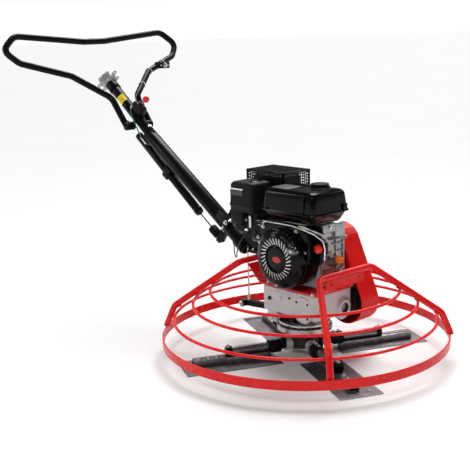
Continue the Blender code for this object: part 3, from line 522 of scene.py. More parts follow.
def cut(item, *cutters):
    """Subtracts the cutters' shapes for good and removes them."""
    for cutter in cutters:
        boolean = item.modifiers.new("cut", "BOOLEAN")
        boolean.operation = "DIFFERENCE"
        boolean.object = cutter
        boolean.solver = "EXACT"
    bpy.context.view_layer.update()
    mesh = bpy.data.meshes.new_from_object(item.evaluated_get(bpy.context.evaluated_depsgraph_get()))
    item.modifiers.clear()
    item.data = mesh
    mesh.shade_smooth()
    mesh.set_sharp_from_angle(angle=radians(SHARP))
    for cutter in cutters:
        bpy.data.objects.remove(cutter, do_unlink=True)
    return item


def cutter_from(name, fill, where):
    builder = bmesh.new()
    fill(builder)
    item = bpy.data.objects.new(name, finish_mesh(builder, name, where))
    bpy.context.scene.collection.objects.link(item)
    return item


# ---------------------------------------------------------------- the free cable


def make_throttle_loop():
    """The black throttle cable hangs from the handle's lower end and goes back up to the carburettor."""
    route = smooth(mm("-352 0 338, -354 0 318, -349 -2 295, -338 -6 285, -322 -16 292, -300 -34 316, -262 -52 360, "
        "-215 -60 405, -185 -68 433, -172 -70 438"), 8)
    loop = tube("throttle_cable_loop", route, 0.0022, look_name="cable_black", fineness=4,
        replaced=("throttle_loop",))


make_throttle_loop()

# ---------------------------------------------------------------- guard

GUARD_RADIUS = 0.49
WIRES = {"guard_wire_lower": (0.447, 0.135), "guard_wire_middle": (0.381, 0.187), "guard_wire_upper": (0.321, 0.229)}


def hoop_line(side):
    foot_radius, knee_radius, angle = 0.4875, 0.459, radians(37.5)
    foot = Vector((foot_radius * cos(angle), foot_radius * sin(angle), 0.0885))
    corner = Vector((0.186, 0.125, 0.316))
    inner = hypot(corner.x, corner.y)
    knee = corner.lerp(foot, (knee_radius - inner) / (foot_radius - inner))
    knee.z = 0.156
    return rounded(mirrored([(side * p.x, p.y, p.z) for p in (foot, knee, corner)]), 0.036)


def make_guard():
    outer, inner, low, high, edge = GUARD_RADIUS, GUARD_RADIUS - 0.005, 0.053, 0.083, 0.0012
    band = [(outer, high - edge), (outer, low + edge), (outer - edge, low), (inner + edge, low), (inner, low + edge),
        (inner, high - edge), (inner + edge, high), (outer - edge, high)]
    turned("guard_ring", band, ROTOR, "guard_red", "frame", 180, ("guard_band",))
    beads = []
    for name, (radius, height) in WIRES.items():
        route = [(x, y, height) for x, y in circle((0, 0), radius, 144)]
        tube(name + "_rod", route, 0.005, look_name="guard_red", closed=True, replaced=(name,))
    for name, side in (("guard_front_hoop", 1), ("guard_rear_hoop", -1)):
        line = hoop_line(side)
        tube(name + "_tube", line, 0.011, look_name="guard_red", fineness=7, replaced=(name,))
        for radius, height in WIRES.values():
            beads += wire_contacts(line, radius)
        beads += [line[0] + Vector((0, 0, -0.004)), line[-1] + Vector((0, 0, -0.004))]
    weld_beads("guard_weld_beads", beads, 0.0125, ROTOR, "guard_red", "frame")


def wire_contacts(line, radius):
    """Where the hoop's centreline passes over one wire ring."""
    found = []
    for first, second in zip(line, line[1:]):
        near, far = hypot(first.x, first.y), hypot(second.x, second.y)
        if (near - radius) * (far - radius) < 0:
            share = (radius - near) / (far - near)
            spot = first.lerp(second, share)
            found.append(spot + Vector((0, 0, -0.008)))
    return found


def weld_beads(name, spots, size, where, look_name, body):
    builder = bmesh.new()
    for spot in spots:
        for k in range(6):
            angle = k * pi / 3
            made = bmesh.ops.create_icosphere(builder, subdivisions=2, radius=size * 0.42)["verts"]
            shift = Vector((cos(angle), sin(angle), 0.15 * cos(3 * angle))) * size * 0.62
            bmesh.ops.translate(builder, vec=Vector(spot) + shift, verts=made)
    mesh = bpy.data.meshes.new(name)
    builder.to_mesh(mesh)
    builder.free()
    mesh.transform(where)
    mesh.shade_smooth()
    return place(name, mesh, look_name, body)


# ---------------------------------------------------------------- carried-over nodes


def repaint(name, edge=0, segments=2):
    """A CAD node that keeps its shape takes its slot's finish, and its edges are eased."""
    item = frame["nodes"][name]
    slots = {part["node"]: part["material_slot"] for part in frame["record"]["subparts"]}
    material = LOOKS[slots[name]]
    if not item.material_slots:
        item.data.materials.append(material)
    for slot in item.material_slots:
        slot.material = material
    if edge:
        weld = item.modifiers.new("weld", "WELD")
        weld.merge_threshold = 0.00005
        bevel = item.modifiers.new("edge", "BEVEL")
        bevel.width = edge
        bevel.segments = segments
        bevel.limit_method = "ANGLE"
        bevel.angle_limit = radians(34)
    return item


def make_carried_nodes():
    eased = {"engine_base": 0.0012, "belt_guard": 0.0012, "pitch_yoke": 0.0012, "handle_mount": 0.0012,
        "gearbox_housing": 0.0015, "crankcase": 0.0015, "cylinder_head": 0.0008, "carburettor": 0.001,
        "spider_hub": 0.0012, "stop_switch": 0.001}
    for index in range(4):
        eased[f"trowel_blade_{index + 1}"] = 0.0006
    for name in frame["nodes"]:
        repaint(name, eased.get(name, 0))


make_carried_nodes()
make_guard()

# ---------------------------------------------------------------- rotor


def make_rotor():
    turned("thrust_disc", mm("88 120.5, 88 115, 86 113, 60 113, 60 109, 19 109, 19 122.5, 70 122.5, 71.5 121.2, "
        "73.5 121.2, 75 122.5, 86 122.5"), body="thrust_collar_body", steps=96, replaced=("thrust_collar",))
    turned("pressure_disc", mm("95 106.5, 95 101, 93.5 100, 93.5 98.5, 95 97.5, 95 92, 93 90, 15.3 90, 15.3 108.5, "
        "78 108.5, 79.5 107, 82 107, 83.5 108.5, 93 108.5"), body="pressure_plate_body", steps=96,
        replaced=("pressure_plate",))
    turned("hub_nut", mm("0 20, 14 20, 15.5 21.5, 15.5 25.5, 0 25.5"), body="rotor", steps=6)
    turned("hub_boss_ring", mm("46.5 76.5, 46.5 68, 45.5 68, 45.5 76.5"), body="rotor")
    for index in range(4):
        make_arm(index)


def make_arm(index):
    where = arm_frame(index)
    number = index + 1
    body = f"blade_{number}"
    builder = bmesh.new()
    add_rod(builder, *mm("77 0 0, 140 0 0"), 0.0165, 40, bevel=0.0015)
    add_rod(builder, *mm("50 0 0, 90 0 0"), 0.012, 32)
    add_rod(builder, *mm("91 0 0, 137 0 0"), 0.021, 40, bevel=0.002)
    add_box(builder, *mm("96 -24.5 -18, 132 24.5 6"), 0.003)
    add_box(builder, *mm("78.5 16 -4, 96 28 49.5"), 0.0025)
    add_rod(builder, *mm("266 0 0, 286.2 0 0"), 0.0185, 40, bevel=0.002)
    add_box(builder, *mm("268 -15 -18, 286.2 15 10"), 0.002)
    put(f"arm_weldment_{number}", builder, where, "handle_black", body, (f"blade_arm_{number}",))
    rail = bmesh.new()
    add_rod(rail, *mm("136 0 0, 270 0 0"), 0.016, 40)
    add_box(rail, (0.13, -0.0178, 0.004 - ARM_HEIGHT), (0.29, 0.0178, -0.0145), 0.0012)
    add_box(rail, (0.13, -0.018, 0.0033 - ARM_HEIGHT), (0.4, 0.018, 0.0063 - ARM_HEIGHT), 0.0006)
    for side in (-1, 1):
        near, far = sorted((side * 0.015, side * 0.018))
        add_box(rail, (0.29, near, 0.004 - ARM_HEIGHT), (0.4, far, -0.014), 0.0006)
    add_box(rail, *mm("289 -18 -17, 400 18 -14"), 0.0006)
    put(f"blade_rail_{number}", rail, where, "blade_steel", body)
    fasteners = bmesh.new()
    for x in (0.104, 0.125):
        add_bolt(fasteners, (x, 0, 0.0205), (0, 0, 1), 0.009)
    add_bolt(fasteners, (0.279, 0, 0.0162), (0, 0, 1), 0.01)
    for x in (0.318, 0.35, 0.384):
        add_bolt(fasteners, (x, 0, -0.0142), (0, 0, 1), 0.01)
    add_rod(fasteners, *mm("88 -2 20, 88 -2 30"), 0.0028, 12, end_radius=0.0018)
    put(f"arm_bolts_{number}", fasteners, where, body=body)
    socket = bmesh.new()
    add_rod(socket, *mm("50 0 0, 75.2 0 0"), 0.0213, 40, bevel=0.0015)
    add_rod(socket, *mm("66 0 0, 76.2 0 0"), 0.0185, 40, bevel=0.001)
    put(f"hub_collar_{number}", socket, where, "gearbox_alloy", "rotor")


make_rotor()

# ---------------------------------------------------------------- gearbox and yoke

GEARBOX_LOW = Vector((-0.11, -0.09, 0.153))
GEARBOX_HIGH = Vector((0.133, 0.09, 0.2432))


def make_gearbox():
    drain_y, drain_z = 0.047, 0.178
    face = GEARBOX_LOW.y
    turned("worm_cover_ring", [(0, -face + 0.0052), (0.039, -face + 0.0052), (0.0425, -face + 0.0046),
        (0.0446, -face + 0.003), (0.0462, -face + 0.0008), (0.0466, -face - 0.001), (0, -face - 0.001)], WORM,
        "gearbox_alloy", steps=96)
    ring = [(WORM_X + 0.035 * cos(a), face - 0.005, WORM_Z + 0.035 * sin(a)) for a in (radians(d) for d in
        (45, 135, 225, 315))]
    bolts("worm_cover_bolts", ring, (0, -1, 0), 0.0055, look_name="dark_iron")
    turned("drain_bore", mm("0 0, 17.6 0, 17.6 14, 15 14, 15 1.5, 0 1.5"), at(GEARBOX_HIGH.x - 0.004, drain_y,
        drain_z) @ END_ON, "dark_iron", steps=48)
    turned("drain_boss_fillet", mm("26.2 9.8, 27.5 9.6, 31 5, 36 1.8, 41 -0.5, 26.2 -0.5"),
        at(GEARBOX_HIGH.x, drain_y, drain_z) @ END_ON, "gearbox_alloy")
    bolts("gearbox_level_plug", [(-0.076, face - 0.0003, 0.2)], (0, -1, 0), 0.01, look_name="dark_iron")
    bolts("gearbox_case_screw", [(0.018, face - 0.0003, 0.216)], (0, -1, 0), 0.0055, look_name="dark_iron")
    turned("gearbox_vent_plug", mm("0 -4.5, 5.5 -4.5, 6.2 -3.5, 6.2 0, 0 0"), at(-0.028, face, 0.208) @
        Matrix.Rotation(-pi / 2, 4, "X"), "wire_pale", steps=32)
    for i, x in enumerate((-0.085, 0.01)):
        box(f"gearbox_lip_{i + 1}", (x, face - 0.0015, 0.23), (x + 0.05, face + 0.001, 0.24),
            look_name="gearbox_alloy", bevel=0.0006)
    rods("pivot_pin_caps", [(*mm("-70 -88.6 136.5, -70 -90.5 136.5"), 0.0125), (*mm("-70 -90.3 136.5, -70 -93 136.5"),
        0.008)], bevel=0.0006)
    bolts("yoke_eye_bolt", [(-0.3, -0.0198, 0.121)], (0, -1, 0), 0.013, body="yoke")
    rods("cable_clevis", [(*mm("-280 0 133.5, -280 0 150"), 0.0055), (*mm("-280 0 150, -280 0 158"), 0.0055, 0.0028)],
        ROTOR, "wire_pale", "cable", 24, 0.0005)


make_gearbox()

# ---------------------------------------------------------------- engine base and belt guard


def make_base_fittings():
    bolts("engine_foot_bolts", mm("140 -81 249.7, 140 74 249.7, -90 -81 249.7, -90 74 249.7"), (0, 0, 1), 0.013)
    bolts("base_flange_bolts", mm("186.2 -70 290, 186.2 66 290"), (1, 0, 0), 0.009, look_name="guard_red")
    bolts("base_side_bolts", [(0.128, -0.0925, 0.247)], (0, -1, 0), 0.01)
    bolts("mount_foot_bolts", mm("-168 -33 335.3, -168 33 335.3, -214 -33 335.3, -214 33 335.3"), (0, 0, 1), 0.011)
    side = 0.1852
    bolts("belt_guard_bolts", [(CRANK_X + 0.058, side, CRANK_Z + 0.03), (CRANK_X - 0.055, side, CRANK_Z - 0.02),
        (0.14, side, 0.15), (0.035, side, 0.195)], (0, 1, 0), 0.009)


make_base_fittings()

# ---------------------------------------------------------------- engine


RECOIL_SLOTS = 30
SLOT_LEAN = Matrix.Translation((0.059, 0, 0)) @ Matrix.Rotation(radians(24), 4, "Z")
ROPE_X, ROPE_Z = 0.104, 0.403


def make_recoil():
    profile = mm("0 146.2, 44 146.2, 45 147.5, 45 151.5, 46.2 152, 72 152, 76 151.2, 79.5 149, 83 147.8, 86 147.5, "
        "92.5 142.8, 96.2 139.2, 99 138.5, 101.5 133, 102.5 125, 103 115.5, 99.8 115.5, 99.3 125, 91 138.5, "
        "75 147.8, 0 144")
    dome = turned("recoil_dome", profile, CRANK, "engine_black", "frame", 120, ("recoil_cover",))

    def slots(builder):
        for i in range(RECOIL_SLOTS):
            turn = Matrix.Rotation(2 * pi * i / RECOIL_SLOTS, 4, "Z")
            add_box(builder, *mm("-12.5 -2.6 144, 12.5 2.6 160"), 0, 1, turn @ SLOT_LEAN)

    cut(dome, cutter_from("recoil_slots", slots, CRANK))
    builder = bmesh.new()
    for i in range(RECOIL_SLOTS):
        turn = Matrix.Rotation(2 * pi * (i + 0.12) / RECOIL_SLOTS, 4, "Z")
        add_box(builder, *mm("-12 -2.2 144.5, 12 2.2 151.2"), 0.0007, 2, turn @ SLOT_LEAN)
    put("recoil_vanes", builder, CRANK, "alloy_and_highlight")
    turned("recoil_centre", mm("0 150, 33 150, 38.5 149.4, 41.5 147.8, 42 146, 0 146"), CRANK, "engine_black")
    badge = [(0.019 * cos(a), 0.01 * sin(a)) for a in (2 * pi * i / 40 for i in range(40))]
    slab("recoil_badge", [badge], 0.1498, 0.1506, CRANK @ Matrix.Translation((0.003, -0.002, 0)), "red_print",
        bevel=0.0003)
    screws = [(0.0885 * cos(a), -0.1462, 0.0885 * sin(a)) for a in (radians(d) for d in (32, 150, 268))]
    spots = [(CRANK_X + x, y, CRANK_Z + z) for x, y, z in screws]
    bolts("recoil_screws", spots, (0, -1, 0), 0.0075)
    builder = bmesh.new()
    for k in range(5):
        turn = Matrix.Rotation(radians(36 + 9 * k), 4, "Z") @ Matrix.Translation((0.0925, 0, 0))
        add_box(builder, *mm("-6 -1.6 133.5, 12 1.6 142.5"), 0.0008, 2, turn @ Matrix.Rotation(radians(-20), 4, "Z"))
    put("recoil_fins", builder, CRANK, "engine_black")
    turned("rope_guide", mm("7 -1, 10.5 -1, 11.5 1, 10.5 3, 6 3, 6 0"), at(ROPE_X, -0.148, ROPE_Z) @ SIDE_ON,
        steps=32)
    grip = mm("152.5 84 124 398 408 4, 154.5 82.2 125.8 394.5 411.5 7, 160 82 126 390.5 415.5 10, "
        "165 82.6 125.4 391.5 414.5 10, 168.5 85 123 395 411 7, 169 87 121 397.5 408.5 5")
    stack("starter_handle", grip, ROTOR @ SIDE_ON, "wet_black", "grip", replaced=("starter_grip",))
    turned("starter_knot", mm("0 170.5, 2.5 170.2, 4.6 168.8, 5 167, 0 166"), at(ROPE_X, 0, ROPE_Z) @ SIDE_ON,
        "alloy_and_highlight", "grip", 28)
    for k in range(5):
        radius = 0.08 + 0.0042 * k
        height = 0.1494 - 0.0021 * k - 0.0005 * k * k
        rib = [(x, y, height) for x, y in arc((0, 0), radius, radians(24 + 3 * k), radians(74 - 3 * k), 24)]
        tube(f"recoil_rib_{k + 1}", rib, 0.0013, CRANK, "wet_black", fineness=3)
    rope = turned("starter_rope", [(0, 0.144)] + [(0.0022, 0.144 + 0.0012 * i) for i in range(9)] + [(0, 0.1536)],
        at(ROPE_X, 0, ROPE_Z) @ SIDE_ON, "cable_black", None, 20)
    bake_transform(rope)


def shroud_outline(inset):
    right, left, top = 0.117 - inset, -0.106 + inset, 0.108 - inset
    fan = arc((0, 0), 0.1035 - inset, pi, 2 * pi, 48)
    return (fan + [(right, 0.01)] + arc((right - 0.055, top - 0.055), 0.055, 0, pi / 2, 16) +
        arc((left + 0.022, top - 0.022), 0.022, pi / 2, pi, 8))


def make_shroud():
    slab("fan_housing", [shroud_outline(0), circle((0, 0), 0.0885, 96)], 0.1115, 0.115, CRANK, "engine_black",
        "frame", 0.0012, ("fan_shroud",))
    slab("fan_housing_wall", [shroud_outline(0), shroud_outline(0.003)], 0.0515, 0.114, CRANK, "engine_black",
        bevel=0.0004)
    slab("fan_housing_rib", [shroud_outline(-0.0012), shroud_outline(0.002)], 0.079, 0.083, CRANK, "engine_black",
        bevel=0.0006)
    edge = [(x, y, 0.112) for x, y in shroud_outline(0.0015)]
    tube("fan_housing_rim", edge, 0.003, CRANK, "engine_black", closed=True, fineness=4)
    bolts("fan_housing_bolts", [(CRANK_X + 0.098, -0.115, CRANK_Z + 0.03), (CRANK_X - 0.092, -0.115, CRANK_Z + 0.092),
        (CRANK_X + 0.06, -0.115, CRANK_Z + 0.094)], (0, -1, 0), 0.009)
    box("switch_housing", *mm("129 -84 386, 169 -60 424"), look_name="engine_black", bevel=0.004)
    turned("ignition_knob", mm("0 100, 9.5 100, 11.5 99, 12.2 96.5, 14 95.5, 14.5 94, 14.5 85.5, 13.8 84.3, 0 84.3"),
        at(0.152, 0, 0.405) @ SIDE_ON, "red_plastic", "ignition", 40, ("engine_switch",))
    box("ignition_pointer", *mm("150 -100.8 396, 154 -98.5 414"), ROTOR, "red_plastic", "ignition", 0.0008)
    panel = mm("110 352, 150 350, 164 362, 170 382, 170 426, 160 440, 138 449, 110 450")
    slab("switch_panel", [panel], 0.079, 0.0836, ROTOR @ SIDE_ON, "engine_black", bevel=0.0012)
    # A bright alloy line along the fan housing's top edge and down its side: a painted highlight of the housing's
    # rim.
    edge_highlight_line = rounded(mm("-78 -116 464, -60 -116.5 473, 60 -116.5 473, 108 -114 466, 142 -98 452, 168 -85 432, "
        "172.8 -82 405, 170 -82 370"), 0.022)
    tube("fan_housing_edge_highlight", edge_highlight_line, 0.0022, look_name="alloy_and_highlight", fineness=3)


def make_tank():
    where = at(0.075, 0.003, 0)
    layers = levels(-0.072, 0.164, -0.125, 0.045, mm("479.5 30 30 30 10, 480.5 24 24 24 12, 486 17 17 17 14, "
        "514.5 2 2 2 18, 514.9 -6 -6 -6 24, 516.8 -7 -7 -7 25, 518.9 -6 -6 -6 24, 519.5 0 0 0 18, "
        "530 0.2 0.2 0.2 18, 572 5 5 5 18, 576 6.2 6.2 6.2 18, 579 8.5 8.5 8.5 17, 581.5 11 11 11 16, "
        "584.2 14.5 14.5 14.5 14, 585.8 20 20 20 12, 586.6 27 27 27 10, 586.8 40 40 40 8"))
    stack("tank_shell", layers, ROTOR, "engine_black", "frame", 10, ("fuel_tank",), 40)
    turned("tank_neck", mm("27 580, 33 580, 33.5 588.2, 32 589.5, 27 589"), where, "engine_black", steps=64)
    slab("tank_cap_grip", [lobed(0.0292, 0.0008, 20, 120)], 0.5895, 0.598, where, "black_plastic", "tank_cap", 0.0015,
        ("fuel_cap",))
    turned("tank_cap_dome", mm("0 599.2, 15 599, 23.5 598.4, 26.2 597, 0 596"), where, "black_plastic", "tank_cap",
        48)
    bolts("tank_lip_bolts", mm("118 -128.5 519.2, -45 -128.5 519.2"), (0, 0, 1), 0.008, look_name="engine_black")
    box("tank_side_tab", *mm("164 12 519, 170.6 30 540"), look_name="engine_black", bevel=0.0015)
    box("tank_corner_pillar", *mm("118 -129 519, 124 -121.5 572"), look_name="engine_black", bevel=0.0025)
    # A grey patch on the black tank top is a painted reflection of the light on its glossy top.
    sticker = mm("-46 -98, 20 -98, 26 -92, 26 -34, 20 -28, -46 -28, -52 -34, -52 -92")
    slab("tank_top_painted_sheen", [sticker], 0.5864, 0.5871, look_name="painted_tank_sheen", bevel=0.0002)
    crease = rounded(mm("-50 -110.5 586.2, 128 -110.5 586.2, 148 -80 586.2, 148 0 586.2"), 0.016)
    tube("tank_top_bead", crease, 0.0016, look_name="engine_black", fineness=4)


def make_air_cleaner():
    y0 = -0.125
    layers = levels(-0.237, -0.115, y0, -0.022, mm("490 6 5 4 10, 496 3 3 2 12, 510 2 1 1 12, 511.2 0 0 0 13, "
        "515 0 0 0 13, 516 2 1.5 1.5 12, 580 4 4 4 13, 587 7 7 7 13, 590.5 12 12 12 12, 591.8 20 20 20 10"))
    cover = stack("air_box", layers, look_name="black_plastic", replaced=("air_cleaner",), angle=26)
    centre = Vector((-0.16, -0.066, 0.592))

    def recess(builder):
        add_rod(builder, centre + Vector((0, 0, -0.006)), centre + Vector((0, 0, 0.004)), 0.022, 40)

    cut(cover, cutter_from("wing_recess", recess, ROTOR))
    rods("wing_nut_boss", [(centre + Vector((0, 0, -0.0062)), centre + Vector((0, 0, -0.0015)), 0.0085, 0.007)],
        sides=24, bevel=0.0006)
    builder = bmesh.new()
    for side in (-1, 1):
        low, high = sorted((side * 0.0065, side * 0.018))
        add_box(builder, centre + Vector((low, -0.0016, -0.0058)), centre + Vector((high, 0.0016, -0.001)), 0.001)
    put("wing_nut_wings", builder, ROTOR)
    front = y0 + 0.0012
    box("air_box_white_line", (-0.225, front - 0.0006, 0.5655), (-0.164, front + 0.003, 0.57), ROTOR, "white_print",
        "frame", 0.0001, 1)
    box("air_box_grey_patch", (-0.225, front - 0.0006, 0.546), (-0.164, front + 0.003, 0.563), ROTOR, "grey_print",
        "frame", 0.0001, 1)
    rods("air_box_clips", [(*mm("-114 -100 500, -114 -100 530"), 0.0016), (*mm("-114 -50 500, -114 -50 530"),
        0.0016)], look_name="black_plastic", sides=12)


def make_carburettor_details():
    bowl = at(-0.136, -0.078, 0)
    bolts("carburettor_bolts", mm("-170 -106.2 462, -108.5 -106.2 410.5"), (0, -1, 0), 0.008)
    bolts("float_bowl_bolt", [(-0.136, -0.078, 0.3899)], (0, 0, -1), 0.009, look_name="wire_pale")
    turned("float_bowl_band", mm("22.8 428, 22.8 422, 21.8 422, 21.8 428"), bowl, steps=48)
    builder = bmesh.new()
    add_box(builder, *mm("-149 -111.8 438.5, -138 -107 476"), 0.0012)
    add_rod(builder, *mm("-143.5 -112 474, -143.5 -106.6 474"), 0.006, 24, bevel=0.0006)
    put("choke_blade", builder, ROTOR, body="choke", replaced=("choke_lever",))
    box("fuel_valve_lever", *mm("-169 -113 425, -156 -106.5 433"), look_name="alloy_and_highlight", bevel=0.001)
    hose = smooth(mm("-108 -60 432, -92 -58 440, -83 -62 462, -70 -70 478, -52 -74 484"))
    tube("fuel_hose", hose, 0.004, look_name="cable_black", fineness=4)
    governor = rounded(mm("-120 -104 464, -98 -108 470, -70 -120.5 474.5, -20 -120.5 474.5"), 0.008)
    tube("governor_rod", governor, 0.0014, fineness=2)
    spring = []
    turns, length = 14, 0.03
    for i in range(turns * 12 + 1):
        angle = 2 * pi * i / 12
        spring.append((-0.1 + length * i / (turns * 12), -0.113 + 0.0028 * cos(angle), 0.456 + 0.0028 * sin(angle)))
    tube("governor_spring", spring, 0.0005, fineness=1)
    box("carburettor_spacer", *mm("-104 -98 424, -96 -58 466"), look_name="black_plastic", bevel=0.0015)
    builder = bmesh.new()
    add_box(builder, *mm("-232 -121.5 446, -172 -34 490.5"), 0.005)
    add_box(builder, *mm("-173 -103 464, -120 -34 490"), 0.004)
    add_box(builder, *mm("-222 -112 418, -171.5 -50 448"), 0.006)
    put("air_box_foot", builder, ROTOR, "black_plastic")
    panel = bmesh.new()
    add_box(panel, *mm("-180 -106.4 406, -103.5 -103 472"), 0.0012)
    add_box(panel, *mm("-176 -110 412, -153 -106 424"), 0.0015)
    add_rod(panel, *mm("-120 -110 424, -120 -105 424"), 0.008, 28, bevel=0.0008)
    put("control_panel", panel, ROTOR, "black_plastic")
    turned("float_bowl_shell", mm("22.4 422, 22.4 396, 20.5 391.8, 15 390, 6 389.8, 6 392.5, 22.1 393.5, 22.1 422"),
        bowl, "dark_iron", steps=48)


def mesh_panel(builder, origin, across, up, columns, rows, bar, thick, edge):
    """A perforated sheet: crossing bars inside a solid edge, laid out on two directions."""
    across, up = Vector(across), Vector(up)
    normal = across.cross(up).normalized()
    width, height = across.length, up.length
    base = Matrix(((*across.normalized(), 0), (*up.normalized(), 0), (*normal, 0), (0, 0, 0, 1))).transposed()
    turn = Matrix.Translation(Vector(origin)) @ base
    for i in range(columns + 1):
        size = edge if i in (0, columns) else bar
        x = min(max(width * i / columns, size / 2), width - size / 2)
        add_box(builder, (x - size / 2, 0, -thick / 2), (x + size / 2, height, thick / 2), 0, 1, turn)
    for j in range(rows + 1):
        size = edge if j in (0, rows) else bar
        y = min(max(height * j / rows, size / 2), height - size / 2)
        add_box(builder, (0, y - size / 2, -thick / 2), (width, y + size / 2, thick / 2), 0, 1, turn)


def make_muffler():
    x0, x1, y0, y1, z0, z1 = -0.267, -0.0835, -0.007, 0.123, 0.51, 0.6172
    width, depth, height = x1 - x0, y1 - y0, z1 - z0
    builder = bmesh.new()
    bar, sheet, edge = 0.0028, 0.0014, 0.006
    up = (0, 0, height)
    for corner, across, along, columns, rows in (((x0, y0, z1), (width, 0, 0), (0, depth, 0), 20, 14),
            ((x0, y0, z0), (width, 0, 0), up, 20, 11), ((x1, y1, z0), (-width, 0, 0), up, 20, 11),
            ((x0, y1, z0), (0, -depth, 0), up, 14, 11), ((x1, y0, z0), (0, depth, 0), up, 14, 11)):
        mesh_panel(builder, corner, across, along, columns, rows, bar, sheet, edge)
    put("muffler_cage", builder, ROTOR, "engine_black", replaced=("muffler_guard",))
    frame_line = [(x0, y0, z1), (x1, y0, z1), (x1, y1, z1), (x0, y1, z1)]
    tube("muffler_cage_rim", frame_line, 0.0022, at(0, 0, -0.0016), "engine_black", closed=True, fineness=3)
    layers = mm("520 -246 -110 18 98 18, 523.5 -252 -104 12 104 22, 530 -256 -100 8 108 24, 559 -256 -100 8 108 24, "
        "560 -259 -97 5 111 26, 562.5 -259 -97 5 111 26, 563.5 -256 -100 8 108 24, 592 -256 -100 8 108 24, "
        "599 -252 -104 12 104 22, 602.5 -244 -112 20 96 16")
    stack("muffler_shell", layers, look_name="heat_steel", replaced=("muffler",), angle=26)
    turned("muffler_spout", mm("10.5 0, 10.5 12, 8.5 12, 8.5 0"),
        at(-0.17, 0.107, 0.58) @ Matrix.Rotation(-pi / 2, 4, "X"), "heat_steel", steps=32)
    bolts("muffler_top_bolts", mm("-200 58 602.6, -150 58 602.6"), (0, 0, 1), 0.01, look_name="heat_steel")


def make_crankcase_details():
    side = 0.1152
    builder = bmesh.new()
    for z in (0.285, 0.312, 0.372, 0.398):
        add_box(builder, (side - 0.0008, -0.044, z - 0.002), (side + 0.007, 0.07, z + 0.002), 0.0012)
    for y in (-0.042, 0.03, 0.066):
        add_box(builder, (side - 0.0008, y - 0.002, 0.262), (side + 0.006, y + 0.002, 0.412), 0.0012)
    add_rod(builder, (side - 0.001, -0.02, 0.398), (side + 0.012, -0.02, 0.398), 0.013, 32, bevel=0.0015)
    add_rod(builder, (side - 0.001, 0.045, 0.3), (side + 0.01, 0.045, 0.3), 0.012, 32, bevel=0.0015)
    add_box(builder, *mm("40 -48 419, 112 70 448"), 0.008)
    add_box(builder, *mm("60 -40 440, 128 20 474"), 0.006)
    add_box(builder, *mm("85 22 420, 125 70 470"), 0.006)
    put("crankcase_ribs", builder, ROTOR, "engine_alloy")
    rim = mm("-61 258, 110 258, 110 412, -61 412")
    bolts("cover_bolts", [(x, 0.0855, z) for x, z in rim], (0, 1, 0), 0.009)
    bolts("case_side_bolts", [(side + 0.0115, -0.02, 0.398), (side + 0.0095, 0.045, 0.3), (0.1285, -0.01, 0.46)],
        (1, 0, 0), 0.01)
    cap_where = at(0.146, 0.01, 0.35) @ Matrix.Rotation(radians(66), 4, "Y")
    slab("oil_cap_grip", [lobed(0.014, 0.001, 10, 80)], 0.0004, 0.011, cap_where, "orange_plastic", "oil_cap",
        replaced=("oil_filler_cap",))
    box("oil_cap_tab", *mm("-2.8 -11 10.5, 2.8 11 17.8"), cap_where, "orange_plastic", "oil_cap", 0.0018)
    turned("oil_neck_collar", mm("16.5 -10, 16.5 -0.6, 13.5 -0.6, 13.5 -10"), cap_where, "engine_alloy", steps=40)
    bolts("oil_drain_bolt", [(side + 0.0005, -0.03, 0.268)], (1, 0, 0), 0.012)


def make_wires():
    wire = smooth(mm("85 -110 473.5, 105 -106 472, 128 -88 459, 137.5 -50 436, 138 -20 405, 134 -4 380, 124 0 362"),
        10)
    tube("oil_sensor_lead", wire, 0.0022, look_name="wire_pale", fineness=4, replaced=("engine_wire",))
    second = smooth(mm("98 -112 470, 122 -100 466, 140 -70 450, 146 -40 425, 147 -20 398, 140 -4 376"), 10)
    tube("ground_lead", second, 0.0016, look_name="white_tie", fineness=3)
    third = smooth(mm("160 -70 386.5, 163 -60 374, 156 -40 364, 138 -20 360, 120.5 -10 364"), 10)
    tube("switch_lead", third, 0.0015, look_name="cable_black", fineness=3)
    plug_lead = smooth(mm("-176 6 452, -186 -20 466, -176 -40 480, -140 -44 480, -100 -48 470, -70 -50 455"), 10)
    tube("spark_plug_lead", plug_lead, 0.0034, look_name="cable_black", fineness=4)


make_recoil()
make_shroud()
make_tank()
make_air_cleaner()
make_carburettor_details()
make_muffler()
make_crankcase_details()
make_wires()

# ---------------------------------------------------------------- handle

BAR_HALF = mm("-909 -22.5 737, -909 -58 737, -995 -62 846, -1080 -190 938, -1150 -376 995, -1186 -424 1045, "
    "-1210 -358 1099, -1194 -50 1069")
UPPER_START = Vector((0.52, 0, 0.006))
UPPER_END = Vector((0.85, 0, 0.021))


def make_lower_handle():
    builder = bmesh.new()
    add_rod(builder, *mm("-130 0 0, -1.5 0 0"), 0.027, 64)
    add_box(builder, *mm("-29 -26.2 16, -3.5 26.2 38.5"), 0.003)
    add_box(builder, (-0.0095, -0.016, LATCH_W - 0.014), (-0.0015, 0.016, -0.01), 0.002)
    lower = put("lower_tube", builder, HANDLE, "handle_black", replaced=("lower_handle",))

    def bore(cutter):
        add_rod(cutter, *mm("-140 0 0, -20 0 0"), 0.0235, 48)

    cut(lower, cutter_from("lower_bore", bore, HANDLE))
    turned("fold_flange_ring", mm("30 -9, 30 -1.8, 26.8 -1.8, 26.8 -9"), HANDLE @ END_ON, steps=64)
    s, w = FOLD_PIVOT
    rods("fold_bolt", [((s, -0.033, w), (s, 0.033, w), 0.006)], HANDLE, replaced=("fold_pin",))
    for name, side in (("left", -1), ("right", 1)):
        bolts(f"fold_bolt_head_{name}", [(s, side * 0.033, w)], (0, side, 0), 0.0115, HANDLE)


